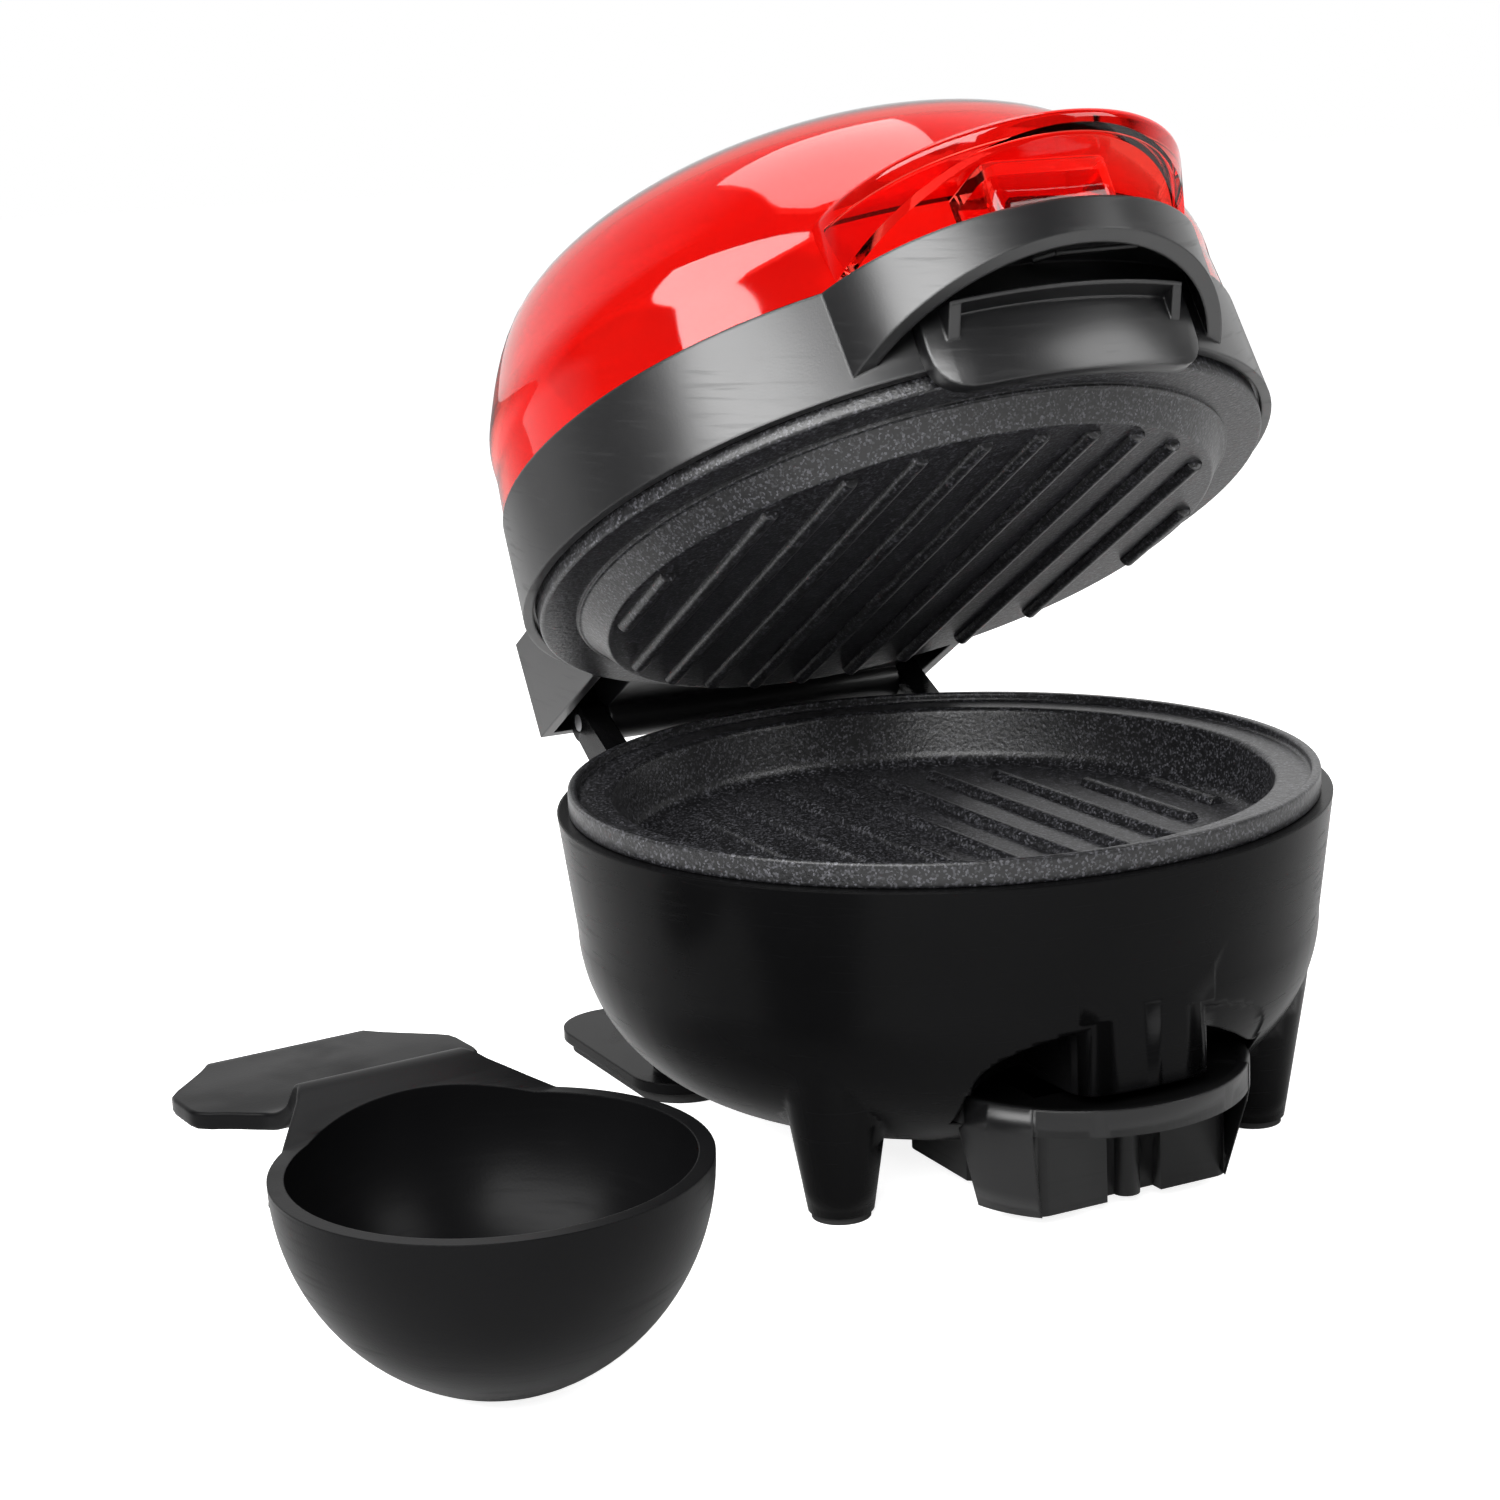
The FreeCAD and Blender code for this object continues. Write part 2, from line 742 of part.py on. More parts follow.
def make_bowl(ways):
    outside = turned("bowl_outside", *bowl_outline(0, None))
    inside = turned("bowl_inside", *bowl_outline(S.bowl_wall, well_outer_radius + S.seat_gap))
    added = []
    for side, label in ((1, "right"), (-1, "left")):
        added.append(make_leg(f"front_leg_{label}", S.leg_x * side, -S.leg_y, S.pad_thickness))
        added.extend(make_ear(f"ear_{label}", side))
    shell = cut("bowl_shell", fuse("bowl_full", [outside, *added]), [inside])

    boss_way_height = S.boss_height + S.seat_gap
    boss_start = (0, -boss_reach, boss_bottom)
    boss_way = cylinder("boss_way", S.boss_radius + S.seat_gap, boss_start, boss_way_height)
    service_start = (0, S.service_y, S.bowl_clearance - S.overrun)
    service_depth = S.bowl_wall + S.overrun * 2
    service = cylinder("service_hole", S.service_radius, service_start, service_depth)
    pin_hole = hinge_bar("hinge_hole", S.hinge_pin_radius + S.pin_play, ear_outer + S.overrun)
    gland_start = (0, waist_radius - S.gland_length, S.gland_height)
    gland_way = S.gland_radius + S.hole_play
    gland_hole = cylinder("gland_hole", gland_way, gland_start, S.gland_length * 2, "Y")
    holes = [*ways, boss_way, service, pin_hole, gland_hole]
    for index, (x, y) in enumerate(cover_screw_places()):
        start = (x, y, S.bowl_clearance - S.overrun)
        hole = cylinder(f"floor_hole_{index}", S.screw_radius + S.hole_play, start, service_depth)
        holes.append(hole)
    node(cut("bowl", shell, holes), "base_bowl")


def make_rear_feet():
    """Rear legs, each on a plate that reaches back, seated just under the bowl's outside."""
    for side, label in ((1, "right"), (-1, "left")):
        x = S.rear_leg_x * side
        bottom = S.rear_pad_thickness
        leg = make_leg(f"rear_leg_{label}", x, S.rear_leg_y, bottom)
        tongue = make_tongue(f"rear_{label}", x, S.tongue_radius, bottom, S.tongue_thickness)
        seat = turned(f"rear_seat_{label}", *bowl_outline(-S.seat_gap, None))
        foot = cut(f"rear_foot_{label}", fuse(f"rear_form_{label}", [leg, tongue]), [seat])
        node(foot, f"rear_foot_{label}")


def hinge_bar(name, radius, half_length):
    return cylinder(name, radius, (-half_length, hinge_y, S.rim_height), half_length * 2, "X")


def cover_screw_places():
    circle = (S.service_radius + S.bottom_cover_radius) / 2
    places = []
    for angle in SCREW_ANGLES:
        x, y = around(circle, angle)
        places.append((x, y + S.service_y))
    return places


def make_bottom_cover():
    bottom = S.bowl_clearance - S.bottom_cover_thickness
    start = (0, S.service_y, bottom)
    disc = cylinder("cover_disc", S.bottom_cover_radius, start, S.bottom_cover_thickness)
    holes = []
    for index, (x, y) in enumerate(cover_screw_places()):
        start = (x, y, bottom - S.overrun)
        depth = S.bottom_cover_thickness + S.overrun * 2
        hole = cylinder(f"cover_hole_{index}", S.screw_radius + S.hole_play, start, depth)
        holes.append(hole)
        screw = bolt(
            f"cover_screw_{index}",
            x,
            y,
            bottom,
            S.screw_radius,
            S.screw_head_radius,
            S.screw_head_height,
            S.bottom_cover_thickness + S.bowl_wall,
            True,
        )
        node(screw, f"bottom_cover_screw_{index + 1}")
    node(cut("bottom_cover", disc, holes), "base_bottom_cover")


def make_pads():
    for side, label in ((1, "right"), (-1, "left")):
        front_radius = S.leg_foot_radius - S.pad_inset
        start = (S.leg_x * side, -S.leg_y, 0)
        pad = cylinder(f"front_pad_{label}", front_radius, start, S.pad_thickness)
        node(pad, f"foot_pad_front_{label}")
        radius = S.tongue_radius - S.rear_pad_inset
        name = f"rear_pad_{label}"
        rear = make_tongue(name, S.rear_leg_x * side, radius, 0, S.rear_pad_thickness)
        node(rear, f"foot_pad_rear_{label}")


def make_element(name, level, pin_bottom, pin_length):
    """A tubular heating ring, open at the rear between its two terminal pins."""
    ring = doc.addObject("Part::Torus", f"{name}_ring")
    bind(ring, "Radius1", S.element_radius)
    bind(ring, "Radius2", S.element_tube)
    ring.Angle3 = number(S.element_sweep)
    bind(ring, "Angle3", S.element_sweep)
    gap = 360 - S.element_sweep
    ring.Placement = Placement(Vector(), Rotation(Vector(0, 0, 1), REAR_ANGLE + number(gap) / 2))
    bind(ring, "Placement.Rotation.Angle", REAR_ANGLE + gap / 2)
    bind(ring, "Placement.Base.z", level)
    pin_y = root(S.element_radius * S.element_radius - S.pin_half * S.pin_half)
    pins = []
    for side in (1, -1):
        start = (S.pin_half * side, pin_y, pin_bottom)
        pins.append(cylinder(f"{name}_pin", S.terminal_pin_radius, start, pin_length))
    return fuse(f"{name}_element", [ring, *pins])


def make_base_heating():
    level = well_under - S.element_tube
    pin_bottom = level - S.terminal_pin_length
    element = make_element("lower", level, pin_bottom, S.terminal_pin_length)
    node(element, "lower_heating_element")

    disc_start = (0, 0, shield_bottom)
    disc = cylinder("shield_disc", shield_radius, disc_start, S.shield_thickness)
    holes = []
    pin_y = root(S.element_radius * S.element_radius - S.pin_half * S.pin_half)
    hole_depth = S.shield_thickness + S.overrun * 2
    for side in (1, -1):
        start = (S.pin_half * side, pin_y, shield_bottom - S.overrun)
        holes.append(cylinder("shield_pin_hole", S.shield_hole_radius, start, hole_depth))
    for index, angle in enumerate(POST_ANGLES):
        x, y = around(S.post_circle, angle)
        start = (x, y, shield_bottom - S.overrun)
        holes.append(cylinder("shield_hole", S.bolt_radius + S.hole_play, start, hole_depth))
        screw = bolt(
            f"shield_bolt_{index}",
            x,
            y,
            shield_bottom,
            S.bolt_radius,
            S.bolt_head_radius,
            S.bolt_head_height,
            S.shield_thickness + S.bolt_reach,
            True,
        )
        node(screw, f"lower_plate_bolt_{index + 1}")
    node(cut("lower_shield", disc, holes), "lower_heat_shield")

    start = (0, 0, well_under - S.thermostat_height)
    thermostat = cylinder("thermostat", S.thermostat_radius, start, S.thermostat_height)
    node(thermostat, "lower_thermostat")
    start = (-S.fuse_length / 2, S.fuse_y, well_under - S.fuse_radius)
    node(cylinder("fuse", S.fuse_radius, start, S.fuse_length, "X"), "lower_thermal_fuse")

    block_top = inner_floor + S.block_height
    y_range = (S.block_front_y, S.block_front_y + S.block_depth)
    x_range = (-S.block_half_x, S.block_half_x)
    node(box("block", x_range, y_range, (inner_floor, block_top)), "terminal_block")
    for side, label in ((1, "right"), (-1, "left")):
        start = (S.pin_half * side, pin_y, block_top)
        lead = cylinder(f"lead_{label}", S.lead_radius, start, pin_bottom - block_top)
        node(lead, f"lead_sleeve_{label}")


def make_gland():
    flange_y = waist_radius + S.seat_gap
    start = (0, flange_y - S.gland_length, S.gland_height)
    shank = cylinder("gland_shank", S.gland_radius, start, S.gland_length, "Y")
    flange_start = (0, flange_y, S.gland_height)
    thickness = S.gland_flange_thickness
    flange = cylinder("gland_flange", S.gland_flange_radius, flange_start, thickness, "Y")
    bore_start = (0, flange_y - S.gland_length - S.overrun, S.gland_height)
    bore_length = S.gland_length + S.gland_flange_thickness + S.overrun * 2
    bore = cylinder("gland_bore", S.gland_bore_radius, bore_start, bore_length, "Y")
    node(cut("gland", fuse("gland_solid", [shank, flange]), [bore]), "cord_gland")


def half_round(name, radius, bottom, height):
    """The front half of a disc about the centre of the tray's rounded nose."""
    disc = cylinder(f"{name}_disc", radius, (0, -tray_centre, bottom), height)
    y_range = (-tray_centre - radius, -tray_centre)
    window = box(f"{name}_window", (-radius, radius), y_range, (bottom, bottom + height))
    return common(name, disc, window)


def make_tray():
    y_back = -S.tray_back
    y_front = -tray_box_front
    nose = half_round("tray_nose", S.tray_radius, flange_bottom, S.flange_thickness)
    flange_x = (-S.tray_radius, S.tray_radius)
    flange = box("tray_flange", flange_x, (-tray_centre, y_back), (flange_bottom, S.tray_top))
    box_x = (-S.tray_box_half, S.tray_box_half)
    box_z = (S.tray_clearance, flange_bottom)
    trough = rounded_box("tray_box", box_x, (y_front, y_back), box_z, S.tray_box_round)

    rim_level = S.tray_top - S.tray_rim_depth
    inset_depth = S.tray_rim_depth + S.overrun
    inset_nose = half_round("tray_inset", S.tray_radius - S.tray_rim, rim_level, inset_depth)
    inset_x = (-S.tray_radius + S.tray_rim, S.tray_radius - S.tray_rim)
    inset_y = (-tray_centre, y_back - S.tray_rim)
    inset = box("tray_inset_box", inset_x, inset_y, (rim_level, S.tray_top + S.overrun))

    well_x = (-S.tray_box_half + S.tray_side_wall, S.tray_box_half - S.tray_side_wall)
    well_y = (y_front + S.tray_front_wall, y_back - S.tray_side_wall)
    well_z = (S.tray_clearance + S.tray_floor, S.tray_top + S.overrun)
    well = box("tray_well", well_x, well_y, well_z)

    recess_y = (y_front - S.overrun, y_front + S.thumb_recess_depth)
    recess_z = (S.tray_clearance - S.overrun, flange_bottom)
    recess_x = (-S.thumb_recess_half, S.thumb_recess_half)
    recess = box("thumb_recess", recess_x, recess_y, recess_z)
    pillar_start = (0, y_front + S.thumb_recess_depth, S.tray_clearance)
    pillar_height = flange_bottom - S.tray_clearance
    pillar = cylinder("thumb_pillar", S.thumb_pillar_radius, pillar_start, pillar_height)

    notches = []
    notch_x = S.tray_box_half - S.side_notch_depth + S.side_notch_radius
    for side in (1, -1):
        start = (notch_x * side, -S.side_notch_y, S.tray_clearance - S.overrun)
        height = flange_bottom - S.tray_clearance + S.overrun
        notches.append(cylinder("side_notch", S.side_notch_radius, start, height))
    body = cut("tray_cut", fuse("tray_solid", [nose, flange, trough]), [recess, *notches])
    with_pillar = fuse("tray_pillared", [body, pillar])
    node(cut("tray", with_pillar, [inset_nose, inset, well]), "drip_tray")


def make_hinge_pin():
    node(hinge_bar("hinge_pin", S.hinge_pin_radius, ear_outer), "hinge_pin")


def make_upper_plate():
    flange_inner = S.plate_radius - S.upper_flange
    slab = turned(
        "upper_slab",
        [
            (0, plateau_level),
            (plateau_radius, plateau_level),
            (flange_inner, face_level),
            (S.plate_radius, face_level),
            (S.plate_radius, plate_back),
            (flange_inner - S.plate_wall / 2, plate_back),
            (plateau_radius - S.plate_wall, plateau_back),
            (0, plateau_back),
        ],
    )
    sunk = S.plate_wall / 2
    standing = posts("upper_post", plateau_back - sunk, S.lid_shield_rise + sunk)
    solid = fuse("upper_solid", [slab, *ribs("upper", plateau_level, upper_rib_field), *standing])
    holes = []
    for index, angle in enumerate(POST_ANGLES):
        start = (*around(S.post_circle, angle), lid_shield_level - S.bolt_reach)
        depth = S.bolt_reach + S.overrun
        holes.append(cylinder("upper_hole", S.bolt_radius + S.hole_play, start, depth))
    for angle in SCREW_ANGLES:
        start = (*around(lid_screw_circle, angle), lip_top - S.lid_screw_reach)
        depth = S.lid_screw_reach + S.overrun
        holes.append(cylinder("flange_hole", S.screw_radius + S.hole_play, start, depth))
    node(swing(cut("upper_plate", solid, holes)), "upper_grill_plate")


def make_lid_ring():
    ring_seat = S.plate_radius + S.ring_gap
    ledge_inner = ring_inner - S.deck_ledge_width
    ledge_under = deck_level - S.deck_ledge_depth
    hoop = turned(
        "ring_hoop",
        [
            (ring_seat, ring_bottom),
            (ring_foot_radius, ring_bottom),
            (ring_top_radius, ring_top),
            (ring_inner, ring_top),
            (ring_inner, deck_level),
            (ledge_inner, deck_level),
            (ledge_inner, ledge_under),
            (ring_inner, ledge_under - S.deck_ledge_width),
            (ring_inner, lip_top),
            (lip_inner, lip_top),
            (lip_inner, plate_back),
            (ring_seat, plate_back),
        ],
    )
    core_start = (0, 0, S.rim_height - S.overrun)
    core_radius = ring_top_radius - S.ring_wall / 2
    core_height = ring_top - S.rim_height + S.overrun * 2

    beak_start = (0, -beak_centre, ring_bottom)
    beak_full = cylinder("beak_full", S.beak_radius, beak_start, S.ring_height)
    hollow_start = (0, -beak_centre, ring_bottom - S.overrun)
    hollow_height = S.ring_height - S.beak_roof + S.overrun
    hollow = cylinder("beak_hollow", S.beak_radius - S.beak_wall, hollow_start, hollow_height)
    front_y = -beak_centre - S.beak_radius
    under = prism(
        "beak_under",
        "YZ_Plane",
        [
            (-beak_root_y, S.rim_height + S.beak_root_lift),
            (front_y, S.rim_height + S.beak_front_lift),
            (front_y - S.overrun, S.rim_height + S.beak_front_lift),
            (front_y - S.overrun, S.rim_height - S.overrun),
            (0, S.rim_height - S.overrun),
            (0, S.rim_height + S.beak_root_lift),
        ],
        (S.beak_radius + S.overrun) * 2,
        (-S.beak_radius - S.overrun, 0, 0),
    )
    beak_core = cylinder("beak_core", core_radius, core_start, core_height)
    beak = cut("beak", beak_full, [hollow, under, beak_core])

    housing_back = hinge_y + S.housing_room + S.housing_wall
    housing_bottom = S.rim_height + S.housing_lift
    outer_x = (-housing_half, housing_half)
    outer = box("housing_outer", outer_x, (ear_root_y, housing_back), (housing_bottom, ring_top))
    room_half = housing_half - S.housing_wall
    room_y = (ear_root_y - S.overrun, hinge_y + S.housing_room)
    room_z = (housing_bottom - S.overrun, ring_top - S.beak_roof)
    room = box("housing_room", (-room_half, room_half), room_y, room_z)
    housing_core = cylinder("housing_core", core_radius, core_start, core_height)
    housing = cut("housing", outer, [room, housing_core])

    barrel = hinge_bar("barrel", S.barrel_radius, S.barrel_half)
    web_z = (S.rim_height + S.web_lift, S.rim_height + S.web_lift + S.web_height)
    web_x = (-S.barrel_half, S.barrel_half)
    web_full = box("web_full", web_x, (ear_root_y, hinge_y), web_z)
    web_core = cylinder("web_core", core_radius, core_start, core_height)
    web = cut("web", web_full, [web_core])

    ears = []
    for side in (1, -1):
        inner = S.cover_barrel_half + S.ear_gap
        start_x = inner if side > 0 else -inner - S.cover_ear_width
        start = (start_x, cover_pin_y, cover_pin_level)
        ears.append(cylinder("cover_eye", S.cover_ear_radius, start, S.cover_ear_width, "X"))
        ear_x = (start_x, start_x + S.cover_ear_width)
        ear_y = (cover_pin_y - S.cover_ear_radius, cover_pin_y + S.cover_ear_radius)
        ears.append(box("cover_ear", ear_x, ear_y, (ring_top - S.beak_roof, cover_pin_level)))

    solid = fuse("ring_solid", [hoop, beak, housing, barrel, web, *ears])
    pin_way = hinge_bar(
        "barrel_bore", S.hinge_pin_radius + S.pin_play, S.barrel_half + S.overrun
    )
    cover_way = cover_bar("cover_way", S.cover_pin_radius + S.pin_play, S.overrun)
    holes = [pin_way, cover_way]
    for angle in SCREW_ANGLES:
        start = (*around(lid_screw_circle, angle), plate_back - S.overrun)
        depth = S.ring_lip + S.overrun * 2
        holes.append(cylinder("lip_hole", S.screw_radius + S.hole_play, start, depth))
    node(swing(cut("ring", solid, holes)), "lid_ring")


def cover_bar(name, radius, extra):
    """A rod on the cover's hinge axis, as long as the two ears and what is asked beyond them."""
    half = S.cover_barrel_half + S.ear_gap + S.cover_ear_width + extra
    return cylinder(name, radius, (-half, cover_pin_y, cover_pin_level), half * 2, "X")


def make_grip():
    bottom = S.rim_height - S.grip_drop
    outer_radius = ring_foot_radius + S.grip_thickness
    hoop = cylinder("grip_hoop", outer_radius, (0, 0, bottom), S.grip_height)
    top = bottom + S.grip_height
    window = prism(
        "grip_window",
        "XZ_Plane",
        [
            (-S.grip_half, top),
            (-S.grip_half, bottom + S.grip_corner),
            (-S.grip_half + S.grip_corner, bottom),
            (S.grip_half - S.grip_corner, bottom),
            (S.grip_half, bottom + S.grip_corner),
            (S.grip_half, top),
        ],
        outer_radius,
        (0, 0, 0),
    )
    panel = common("grip_panel", hoop, window)
    blade_bottom = top - S.blade_cheek_drop
    disc = cylinder("blade_disc", blade_radius, (0, 0, blade_bottom), S.blade_cheek_drop)
    blade_y = (-blade_radius - S.overrun, -beak_centre)
    shelf_x = (-S.blade_half, S.blade_half)
    shelf = box("blade_shelf", shelf_x, blade_y, (top - S.blade_thickness, top))
    cheeks = []
    for inner, outer in (
        (-S.blade_half, -S.blade_half + S.blade_cheek),
        (S.blade_half - S.blade_cheek, S.blade_half),
    ):
        cheeks.append(box("blade_end", (inner, outer), blade_y, (blade_bottom, top)))
    blade = common("blade", disc, fuse("blade_form", [shelf, *cheeks]))
    core_height = S.grip_height + S.overrun * 2
    core = cylinder("grip_core", ring_foot_radius, (0, 0, bottom - S.overrun), core_height)
    node(swing(cut("grip", fuse("grip_solid", [panel, blade]), [core])), "handle_grip")


def make_lid_heating():
    level = plateau_back + S.element_tube
    element = make_element("upper", level, level, S.terminal_pin_length)
    node(swing(element), "upper_heating_element")

    disc_start = (0, 0, lid_shield_level)
    disc = cylinder("lid_shield", lid_shield_radius, disc_start, S.shield_thickness)
    holes = []
    pin_y = root(S.element_radius * S.element_radius - S.pin_half * S.pin_half)
    hole_depth = S.shield_thickness + S.overrun * 2
    for side in (1, -1):
        start = (S.pin_half * side, pin_y, lid_shield_level - S.overrun)
        holes.append(cylinder("lid_pin_hole", S.shield_hole_radius, start, hole_depth))
    shield_face = lid_shield_level + S.shield_thickness
    for index, angle in enumerate(POST_ANGLES):
        x, y = around(S.post_circle, angle)
        start = (x, y, lid_shield_level - S.overrun)
        holes.append(cylinder("lid_hole", S.bolt_radius + S.hole_play, start, hole_depth))
        screw = bolt(
            f"lid_bolt_{index}",
            x,
            y,
            shield_face,
            S.bolt_radius,
            S.bolt_head_radius,
            S.bolt_head_height,
            S.shield_thickness + S.bolt_reach,
            False,
        )
        node(swing(screw), f"upper_plate_bolt_{index + 1}")
    node(swing(cut("lid_shield_cut", disc, holes)), "lid_heat_shield")

    start = (0, 0, plateau_back)
    cutout = cylinder("cutout", S.cutout_radius, start, S.cutout_height)
    node(swing(fuse("cutout_body", [cutout, cylinder(
        "cutout_neck", S.fuse_radius, start, S.cutout_height + S.fuse_radius
    )])), "upper_thermal_cutout")


def make_lid_screws():
    for index, angle in enumerate(SCREW_ANGLES):
        x, y = around(lid_screw_circle, angle)
        screw = bolt(
            f"lid_screw_{index}",
            x,
            y,
            lip_top,
            S.screw_radius,
            S.screw_head_radius,
            S.screw_head_height,
            S.lid_screw_reach,
            False,
        )
        node(swing(screw), f"lid_screw_{index + 1}")


def make_deck():
    outer = ring_inner - S.deck_play
    pan = turned(
        "deck_pan",
        [
            (0, deck_level),
            (outer, deck_level),
            (outer, deck_level + S.deck_rim),
            (outer - S.deck_thickness, deck_level + S.deck_rim),
            (outer - S.deck_thickness, deck_level + S.deck_thickness),
            (0, deck_level + S.deck_thickness),
        ],
    )
    node(swing(pan), "warming_deck")


def dome_outline(wall, bottom):
    """Corners of the cover's dome, outside or inside its wall, and the arcs over its shoulder."""
    shoulder = ring_top + S.cover_shoulder_height
    points = [
        (0, bottom),
        (cover_radius - wall, bottom),
        (cover_shoulder_radius - wall, shoulder),
        (cover_crown_radius, ring_top + S.cover_crown_height - wall),
        (0, ring_top + S.cover_height - wall),
    ]
    width = cover_crown_radius
    rise = S.cover_height - S.cover_crown_height
    crown_arc = (width * width + rise * rise) / (rise * 2)
    return points, {2: S.cover_shoulder_arc - wall / 2, 3: crown_arc}, 3


def make_visor():
    """The brim at the cover's front, with the block under it that the cover is lifted by."""
    hood_start = (0, -hood_centre, cover_base)
    hood = leaning("hood", S.hood_radius, hood_start, S.hood_height, S.hood_lean)
    hollow_height = S.hood_height - S.cover_wall
    hollow_lean = S.hood_lean * hollow_height / S.hood_height
    hollow_radius = S.hood_radius - S.cover_wall
    hollow = leaning("hood_hollow", hollow_radius, hood_start, hollow_height, hollow_lean)
    front_y = -hood_centre - S.hood_radius - S.hood_lean
    lip_level = cover_base + S.hood_height - S.visor_lip
    mouth = prism(
        "visor_mouth",
        "YZ_Plane",
        [
            (-mouth_root_y, cover_base - S.overrun),
            (-mouth_root_y, cover_base),
            (front_y, lip_level),
            (front_y - S.overrun, lip_level),
            (front_y - S.overrun, cover_base - S.overrun),
        ],
        (S.hood_radius + S.overrun) * 2,
        (-S.hood_radius - S.overrun, 0, 0),
    )
    brim = cut("brim", hood, [hollow, mouth])
    block_x = (-S.lift_block_half, S.lift_block_half)
    block_y = (-lift_block_front, -hood_centre)
    block = box("lift_block", block_x, block_y, (cover_base, cover_base + hollow_height))
    pocket_half = S.lift_block_half - S.cover_wall
    pocket_y = (-lift_block_front + S.cover_wall, -hood_centre)
    pocket_z = (cover_base - S.overrun, cover_base + hollow_height - S.cover_wall)
    pocket = box("lift_pocket", (-pocket_half, pocket_half), pocket_y, pocket_z)
    lift = cut("lift", block, [pocket])
    seat = turned("visor_seat", *dome_outline(-S.seat_gap, cover_base))
    node(swing(cut("visor", fuse("visor_solid", [brim, lift]), [seat])), "dome_visor")


def make_cover():
    outside = turned("dome_outside", *dome_outline(0, cover_base))
    inside = turned("dome_inside", *dome_outline(S.cover_wall, cover_base - S.overrun))
    barrel_start = (-S.cover_barrel_half, cover_pin_y, cover_pin_level)
    barrel_length = S.cover_barrel_half * 2
    barrel = cylinder("cover_barrel", S.cover_barrel_radius, barrel_start, barrel_length, "X")
    tongue_x = (-S.cover_barrel_half, S.cover_barrel_half)
    tongue_y = (cover_shoulder_radius - S.cover_wall, cover_pin_y)
    tongue_z = (cover_pin_level - S.cover_barrel_radius, cover_pin_level + S.cover_barrel_radius)
    tongue = box("cover_tongue", tongue_x, tongue_y, tongue_z)
    solid = fuse("cover_solid", [outside, barrel, tongue])
    bore = cover_bar("cover_bore", S.cover_pin_radius + S.pin_play, S.overrun)
    node(swing(cut("cover", solid, [inside, bore])), "dome_cover")
    head_x = S.cover_barrel_half + S.ear_gap + S.cover_ear_width
    head_start = (head_x, cover_pin_y, cover_pin_level)
    head = cylinder("cover_pin_head", S.cover_barrel_radius, head_start, S.screw_radius, "X")
    pin = fuse("cover_pin", [cover_bar("cover_rod", S.cover_pin_radius, 0), head])
    node(swing(pin), "cover_hinge_pin")


def make_cup():
    def bowl(wall, top):
        flat = S.cup_foot_radius - wall / 2
        reach = S.cup_radius - wall - flat
        drop = S.cup_depth - wall
        arc = (reach * reach + drop * drop) / (reach * 2)
        points = [(0, wall), (flat, wall), (S.cup_radius - wall, S.cup_depth)]
        if number(top) > number(S.cup_depth):
            points += [(S.cup_radius - wall, top)]
        return points + [(0, top)], {1: arc}

    outside = turned("cup_outside", *bowl(0, S.cup_depth))
    mouth = S.cup_depth + S.cup_ridge_rise + S.overrun
    inside = turned("cup_inside", *bowl(S.cup_wall, mouth))
    ridge = S.cup_depth + S.cup_ridge_rise
    tab_start = S.cup_ridge_y + S.cup_neck_length
    tab_end = tab_start + S.cup_tab_length
    tab_top = S.cup_depth - S.cup_tab_drop
    side = prism(
        "cup_handle_side",
        "YZ_Plane",
        [
            (S.cup_ramp_start, S.cup_depth - S.cup_wall * 2),
            (S.cup_ridge_y - S.cup_wall / 2, ridge - S.cup_wall * RIDGE_SHARE),
            (tab_start - S.cup_wall / 2, tab_top - S.cup_wall),
            (tab_end, tab_top - S.cup_wall),
            (tab_end, tab_top),
            (tab_start, tab_top),
            (S.cup_ridge_y + S.cup_wall / 2, ridge),
            (S.cup_ridge_y - S.cup_wall / 2, ridge),
            (S.cup_ramp_start, S.cup_depth - S.cup_wall),
        ],
        S.cup_ramp_half * 2,
        (-S.cup_ramp_half, 0, 0),
    )
    right = [
        (S.cup_ramp_half, S.cup_ramp_start),
        (S.cup_neck_half, S.cup_ridge_y),
        (S.cup_neck_half, tab_start),
        (S.cup_tab_half, tab_start + S.cup_tab_corner),
        (S.cup_tab_half, tab_end - S.cup_tab_corner),
        (S.cup_neck_half, tab_end),
    ]
    left = [(-x, y) for x, y in reversed(right)]
    plan = prism("cup_handle_plan", "XY_Plane", right + left, mouth, (0, 0, 0))
    handle = common("cup_handle", side, plan)
    cup = cut("cup", fuse("cup_solid", [outside, handle]), [inside])
    cup.Placement = Placement(Vector(), Rotation(Vector(0, 0, 1), number(S.cup_turn)))
    bind(cup, "Placement.Rotation.Angle", S.cup_turn)
    node(place(cup, S.cup_x, S.cup_y, 0), "grease_cup")


def check_model():
    """Stop if any object failed, or if a sub-part is not a single sound solid."""
    failed = [item.Label for item in doc.Objects if "Invalid" in item.State or "Error" in item.State]
    if failed:
        raise RuntimeError(f"objects that failed: {failed}")
    for item in nodes:
        shape = item.Shape
        if shape.isNull() or not shape.isValid() or len(shape.Solids) != 1:
            raise RuntimeError(f"{item.Label}: not a single sound solid")


def write_parts():
    os.makedirs("parts", exist_ok=True)
    for item in nodes:
        item.Shape.exportStep(os.path.join("parts", f"{item.Label}.step"))


tray_ways = dock_ways()
make_bowl(tray_ways)
make_dock(tray_ways)
make_rear_feet()
make_bottom_cover()
make_pads()
make_lower_plate()
make_base_heating()
make_gland()
make_tray()
make_hinge_pin()
make_lid_ring()
make_grip()
make_upper_plate()
make_lid_heating()
make_lid_screws()
make_deck()
make_cover()
make_visor()
make_cup()
doc.recompute()
check_model()
write_parts()
print(f"{len(nodes)} sub-parts written")
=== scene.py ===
import json
import math

import bmesh
import bpy
from mathutils import Matrix, Vector


